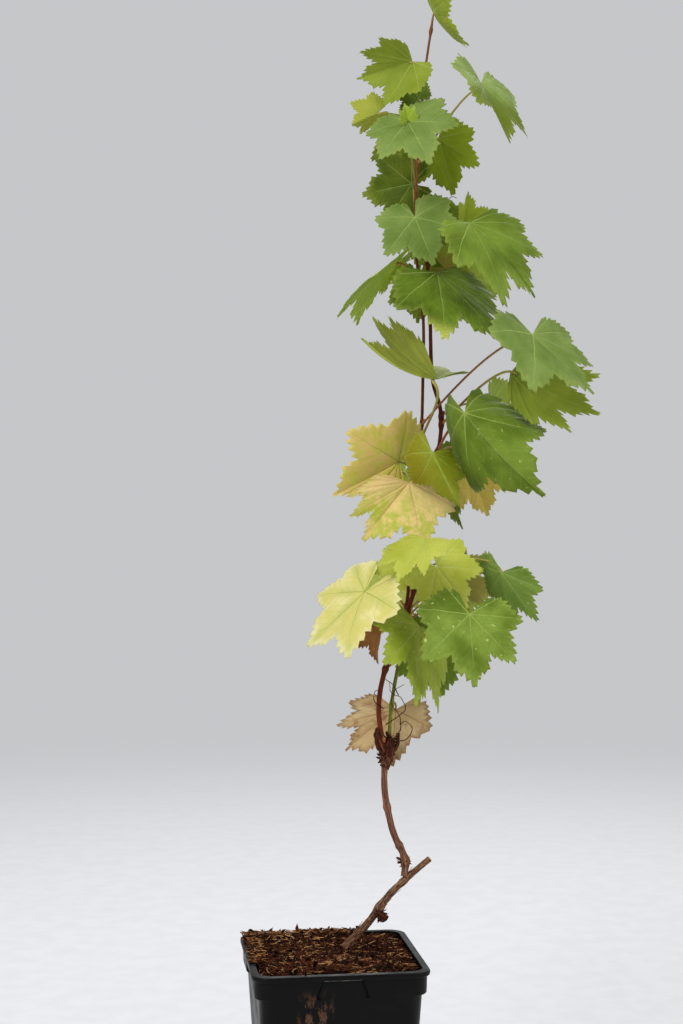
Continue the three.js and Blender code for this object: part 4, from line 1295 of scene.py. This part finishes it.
# The leaves that have a tone as it is, and those that change it or have washes over a side or tip
PLAIN_LOOKS = {
    "fresh": "young_top right_upper low_back back_high back_middle back_centre back_low_right",
    "cool_sheen": "top_front collar right_middle back_upper back_right",
    "yellow_green": "right_young right_under back_top back_left",
    "olive": "shaded mottled_fold",
    "lime": "lime lime_small back_low",
    "cream": "pale",
    "dried": "dried",
}
LOOKS = {
    "top": ("yellow_green", [], {
        "upper": [(128, 144, 30), (156, 170, 56)], "under": [(142, 160, 40), (162, 178, 60)],
    }),
    "top_left": ("yellow_green", [], {"upper": [(112, 128, 22), (136, 150, 38)]}),
    "top_right": ("cool_sheen", [((98, 114, 8), 0, 0.05, 0.35)], {"upper": [(112, 136, 58), (152, 172, 98)]}),
    "young_left": ("yellow_green", [], {"under": [(158, 164, 56), (178, 182, 74)]}),
    "top_sprout": ("lime", [], {"upper": [(138, 166, 40), (160, 184, 60)]}),
    "right_back": ("olive", [], {"under": [(122, 142, 26), (140, 160, 36)]}),
    "left_back": ("olive", [], {"upper": [(64, 82, 6), (92, 108, 14)]}),
    "centre": ("fresh", [((196, 200, 90), 70, 0.6, 0.9)], {"upper": [(72, 94, 14), (104, 130, 34)]}),
    "left_hanging": ("yellow_green", [], {"under": [(140, 168, 32), (162, 186, 52)]}),
    "patched": ("yellow_green", [], {"patch": 0.6, "patch_colour": (160, 128, 66)}),
    "left_edge": ("olive", [], {
        "upper": [(160, 170, 70), (182, 188, 90)], "under": [(112, 122, 32), (134, 142, 48)],
    }),
    "bright": ("fresh", [], {"rim_colour": (150, 170, 60), "spots": 0.3}),
    "yellow": ("yellow", [((220, 190, 118), 90, 0.3, 0.9)], {"vein": 0.45, "vein_colour": (132, 108, 54)}),
    # The bronze-olive wash over the right half is painted shade, where that half hangs down in shadow.
    "mid_front": ("yellow_green", [((136, 126, 24), 90, 0.0, 0.5)], {
        "upper": [(122, 132, 20), (146, 148, 36)],
    }),
    "mottled": ("mottled", [((226, 196, 132), 180, -0.45, 0.15)], {}),
    "mid_back": ("yellow_green", [((206, 176, 88), 20, -0.1, 0.4)], {"patch": 0.3}),
    "lime_right": ("lime", [((206, 204, 108), 0, 0.5, 1.0)], {}),
    "olive": ("olive", [], {"upper": [(116, 112, 46), (142, 132, 60)]}),
    "low_left": ("yellow_green", [], {"spots": 0.4, "upper": [(116, 132, 28), (146, 160, 48)]}),
    "star": ("fresh", [], {"spots": 0.7, "upper": [(88, 110, 26), (128, 152, 58)]}),
    "low_right": ("cool_sheen", [], {"spots": 0.6, "upper": [(99, 127, 48), (124, 150, 66)]}),
    "dried_curl": ("dried", [], {"upper": [(138, 88, 50), (166, 114, 68)]}),
}
LOOKS.update({name: (tone, [], {}) for tone, names in PLAIN_LOOKS.items() for name in names.split()})


# The pieces


def place_pot_and_compost():
    pot = welded(make_pot().piece("nursery_pot", [pot_material()], vine=False))
    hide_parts("pot")
    bed_material = plain_grain("compost_bed", (9, 4, 3), (24, 12, 7), 420.0)
    bed = make_bed().piece("compost_bed", [bed_material], vine=False)
    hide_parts("soil")
    kinds = [
        ("dark_chips", make_chips(31, 2300, 2.5, 13, 0.4), (11, 5, 3), (34, 17, 9), 330.0),
        ("red_chips", make_chips(32, 1500, 2.5, 12, 0.2), (36, 16, 10), (74, 38, 23), 330.0),
        ("pale_chips", make_chips(33, 260, 2.5, 11, 0.0), (82, 52, 30), (132, 94, 60), 330.0),
        ("crumbs", make_chips(34, 4200, 0.8, 2.6, 0.1), (14, 7, 5), (48, 26, 15), 160.0),
        ("brown_fibres", make_fibres(35, 1500, 4, 18), (38, 18, 10), (88, 48, 28), 260.0),
        ("straw_fibres", make_fibres(36, 300, 6, 22), (116, 76, 42), (196, 152, 100), 140.0),
        ("rim_chips", make_chips(37, 420, 2.5, 12, 0.2, rim_places), (22, 10, 6), (80, 43, 24), 200.0),
        ("rim_fibres", make_fibres(38, 150, 5, 16, rim_places), (66, 38, 20), (160, 114, 70), 120.0),
    ]
    for name, form, dark, light, scale in kinds:
        piece = form.piece(name, [plain_grain(name, dark, light, scale)], smooth_faces=False, vine=False)


def place_limbs():
    old_bark = bark_material("old_bark", (52, 30, 20), (120, 84, 60), (178, 146, 114), 1.0, 0.8)
    cut_wood = plain_grain("cut_wood", (168, 132, 96), (214, 184, 146), 500.0, 0.8, 0.3)
    stem_bark = bark_material("stem_bark", (70, 40, 30), (122, 80, 60), (158, 118, 92), 0.6, 0.6)
    long_bark = shoot_material("long_bark", (132, 142, 52), (92, 36, 18), (140, 88, 46), [0.42, 0.50, 0.95])
    red_bark = shoot_material("red_bark", (118, 50, 20), (92, 34, 12), (112, 50, 22), [0.45, 0.60, 0.85])
    dark_bark = bark_material("dark_bark", (30, 13, 9), (74, 36, 23), (124, 74, 44), 0.8, 0.7)
    tendril_bark = plain_grain("tendril_bark", (44, 24, 18), (92, 52, 34), 300.0, 0.7)
    bud_scale = plain_grain("bud_scale", (110, 60, 36), (160, 104, 64), 500.0, 0.6)
    limbs = [
        ("old_cutting", make_cutting(), [old_bark, cut_wood, dark_bark], "trunk", "old_bark"),
        ("young_stem", make_stem(), [stem_bark], "stem", "old_bark"),
        ("stem_knot", make_knot(), [dark_bark, bud_scale], None, "old_bark"),
        ("long_shoot", make_shoot("long", 4), [long_bark], "shoot_long", "green_bark"),
        ("red_shoot", make_shoot("red", 6), [red_bark], "shoot_red", "red_bark"),
        ("dead_stub", make_dead_stub(), [dark_bark], "shoot_stub", "red_bark"),
        ("bark_shreds", make_shreds(), [old_bark], None, "old_bark"),
        ("tendrils", make_tendrils(), [tendril_bark], None, "red_bark"),
        ("bark_scales", make_scales(), [dark_bark], None, "old_bark"),
        ("buds", make_buds(), [bud_scale], None, "red_bark"),
    ]
    for name, form, materials, node, slot in limbs:
        piece = form.piece(name, materials)
        if node:
            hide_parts(node)


def top_sprout():
    """The very young leaf that stands up where the top front leaf meets its stalk."""
    host = next(leaf for leaf in leaves if leaf["name"] == "leaf_top_front")
    joint = host["joint"] + [0, -2.5, 1]
    return read_leaf(["leaf_top_sprout", host["on"], host["at"], joint, -12, 25, 10, 14,
                      [30, 30], [12, 12], [0.8, 0.8]])


def place_leaves():
    """The leaves. Their stalks are pinker on every third one."""
    pink = stalk_material("pink_stalk", (150, 92, 54), (176, 138, 80))
    green = stalk_material("green_stalk", (164, 126, 70), (170, 166, 80))
    for index, leaf in enumerate([*leaves, top_sprout()]):
        node = leaf["name"]
        short = node.removeprefix("leaf_")
        blade = leaf_material("blade_" + short, *LOOKS[short])
        stalk = green if index % 3 else pink
        piece = make_leaf(leaf, 100 + index).piece("grown_" + node, [blade, stalk])
        if node in nodes:
            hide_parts(node)


# The floor, the light and the camera
SKY_COLOUR = (0.78, 0.79, 0.81, 1)
SKY_STRENGTH = 0.72
FLOOR_REACH = 60000
FLOOR_DEPTH = 10
CAMERA_PLACE = [8.3, -1490, 389]
FOCAL_PIXELS = 1716
IMAGE_HEIGHT = 1024
HORIZON_SHIFT = -3
SENSOR = 36.0

# The lamps: name, place and target in metres, side and power
LAMPS = [
    ("key", (-1.6, -1.9, 2.6), (0.05, 0, 0.6), 1.8, 62),
    ("fill", (2.2, -1.4, 1.4), (0.05, 0, 0.6), 1.8, 20),
    ("back", (0.6, 2.2, 2.2), (0.05, 0, 0.7), 1.6, 24),
]


def stage_floor():
    """A wide pale floor that fades into the colour of the sky, so that no horizon shows."""
    form = Form()
    angle = np.linspace(0, 2 * math.pi, 96, endpoint=False)
    circle = np.column_stack([np.cos(angle), np.sin(angle), np.zeros(96)]) * FLOOR_REACH
    form.add(*closed_rings(np.array([circle - [0, 0, FLOOR_DEPTH], circle])))
    graph = Graph("floor_paint")
    spots = graph.noise(graph.place(), 30.0, 2.0)
    away = graph.put("ShaderNodeVectorMath", {0: graph.place()}, operation="LENGTH").outputs["Value"]
    fade = graph.ramp(away, 0.7, 3.2)
    colour = graph.mix(graph.ramp(spots, 0.3, 0.7), (226, 226, 228), (230, 230, 232))
    paint = graph.finish(0.0, base_color=graph.mix(fade, colour, (0, 0, 0)), roughness=0.9,
                         emission_color=SKY_COLOUR, emission_strength=graph.times(fade, SKY_STRENGTH))
    floor = form.piece("floor", [paint], smooth_faces=False, vine=False)


def place_camera():
    """A level camera where the photograph was taken from, looking along the vine's own Y."""
    camera = bpy.data.cameras.new("camera")
    camera.sensor_width = SENSOR
    camera.lens = FOCAL_PIXELS / IMAGE_HEIGHT * SENSOR
    camera.shift_y = HORIZON_SHIFT / IMAGE_HEIGHT
    camera.clip_end = 100
    viewer = bpy.data.objects.new("camera", camera)
    viewer.location = from_vine([CAMERA_PLACE])[0] * MILLIMETRE
    viewer.rotation_euler = (math.pi / 2, 0, turn)
    bpy.context.scene.collection.objects.link(viewer)
    bpy.context.scene.camera = viewer


def light_stage():
    world = bpy.data.worlds.new("studio")
    world.use_nodes = True
    background = world.node_tree.nodes["Background"]
    background.inputs["Color"].default_value = SKY_COLOUR
    background.inputs["Strength"].default_value = SKY_STRENGTH
    bpy.context.scene.world = world
    for name, place, target, side, power in LAMPS:
        light = bpy.data.lights.new(name, "AREA")
        light.shape = "SQUARE"
        light.size = side
        light.energy = power
        lamp = bpy.data.objects.new(name, light)
        lamp.location = place
        lamp.rotation_euler = (Vector(target) - Vector(place)).to_track_quat("-Z", "Y").to_euler()
        bpy.context.scene.collection.objects.link(lamp)
    bpy.context.scene.view_settings.view_transform = "Standard"


leaves = [read_leaf(row) for row in LEAF_LIST]
for leaf in leaves:
    settle(leaf)
place_camera()
place_pot_and_compost()
place_limbs()
place_leaves()
stage_floor()
light_stage()
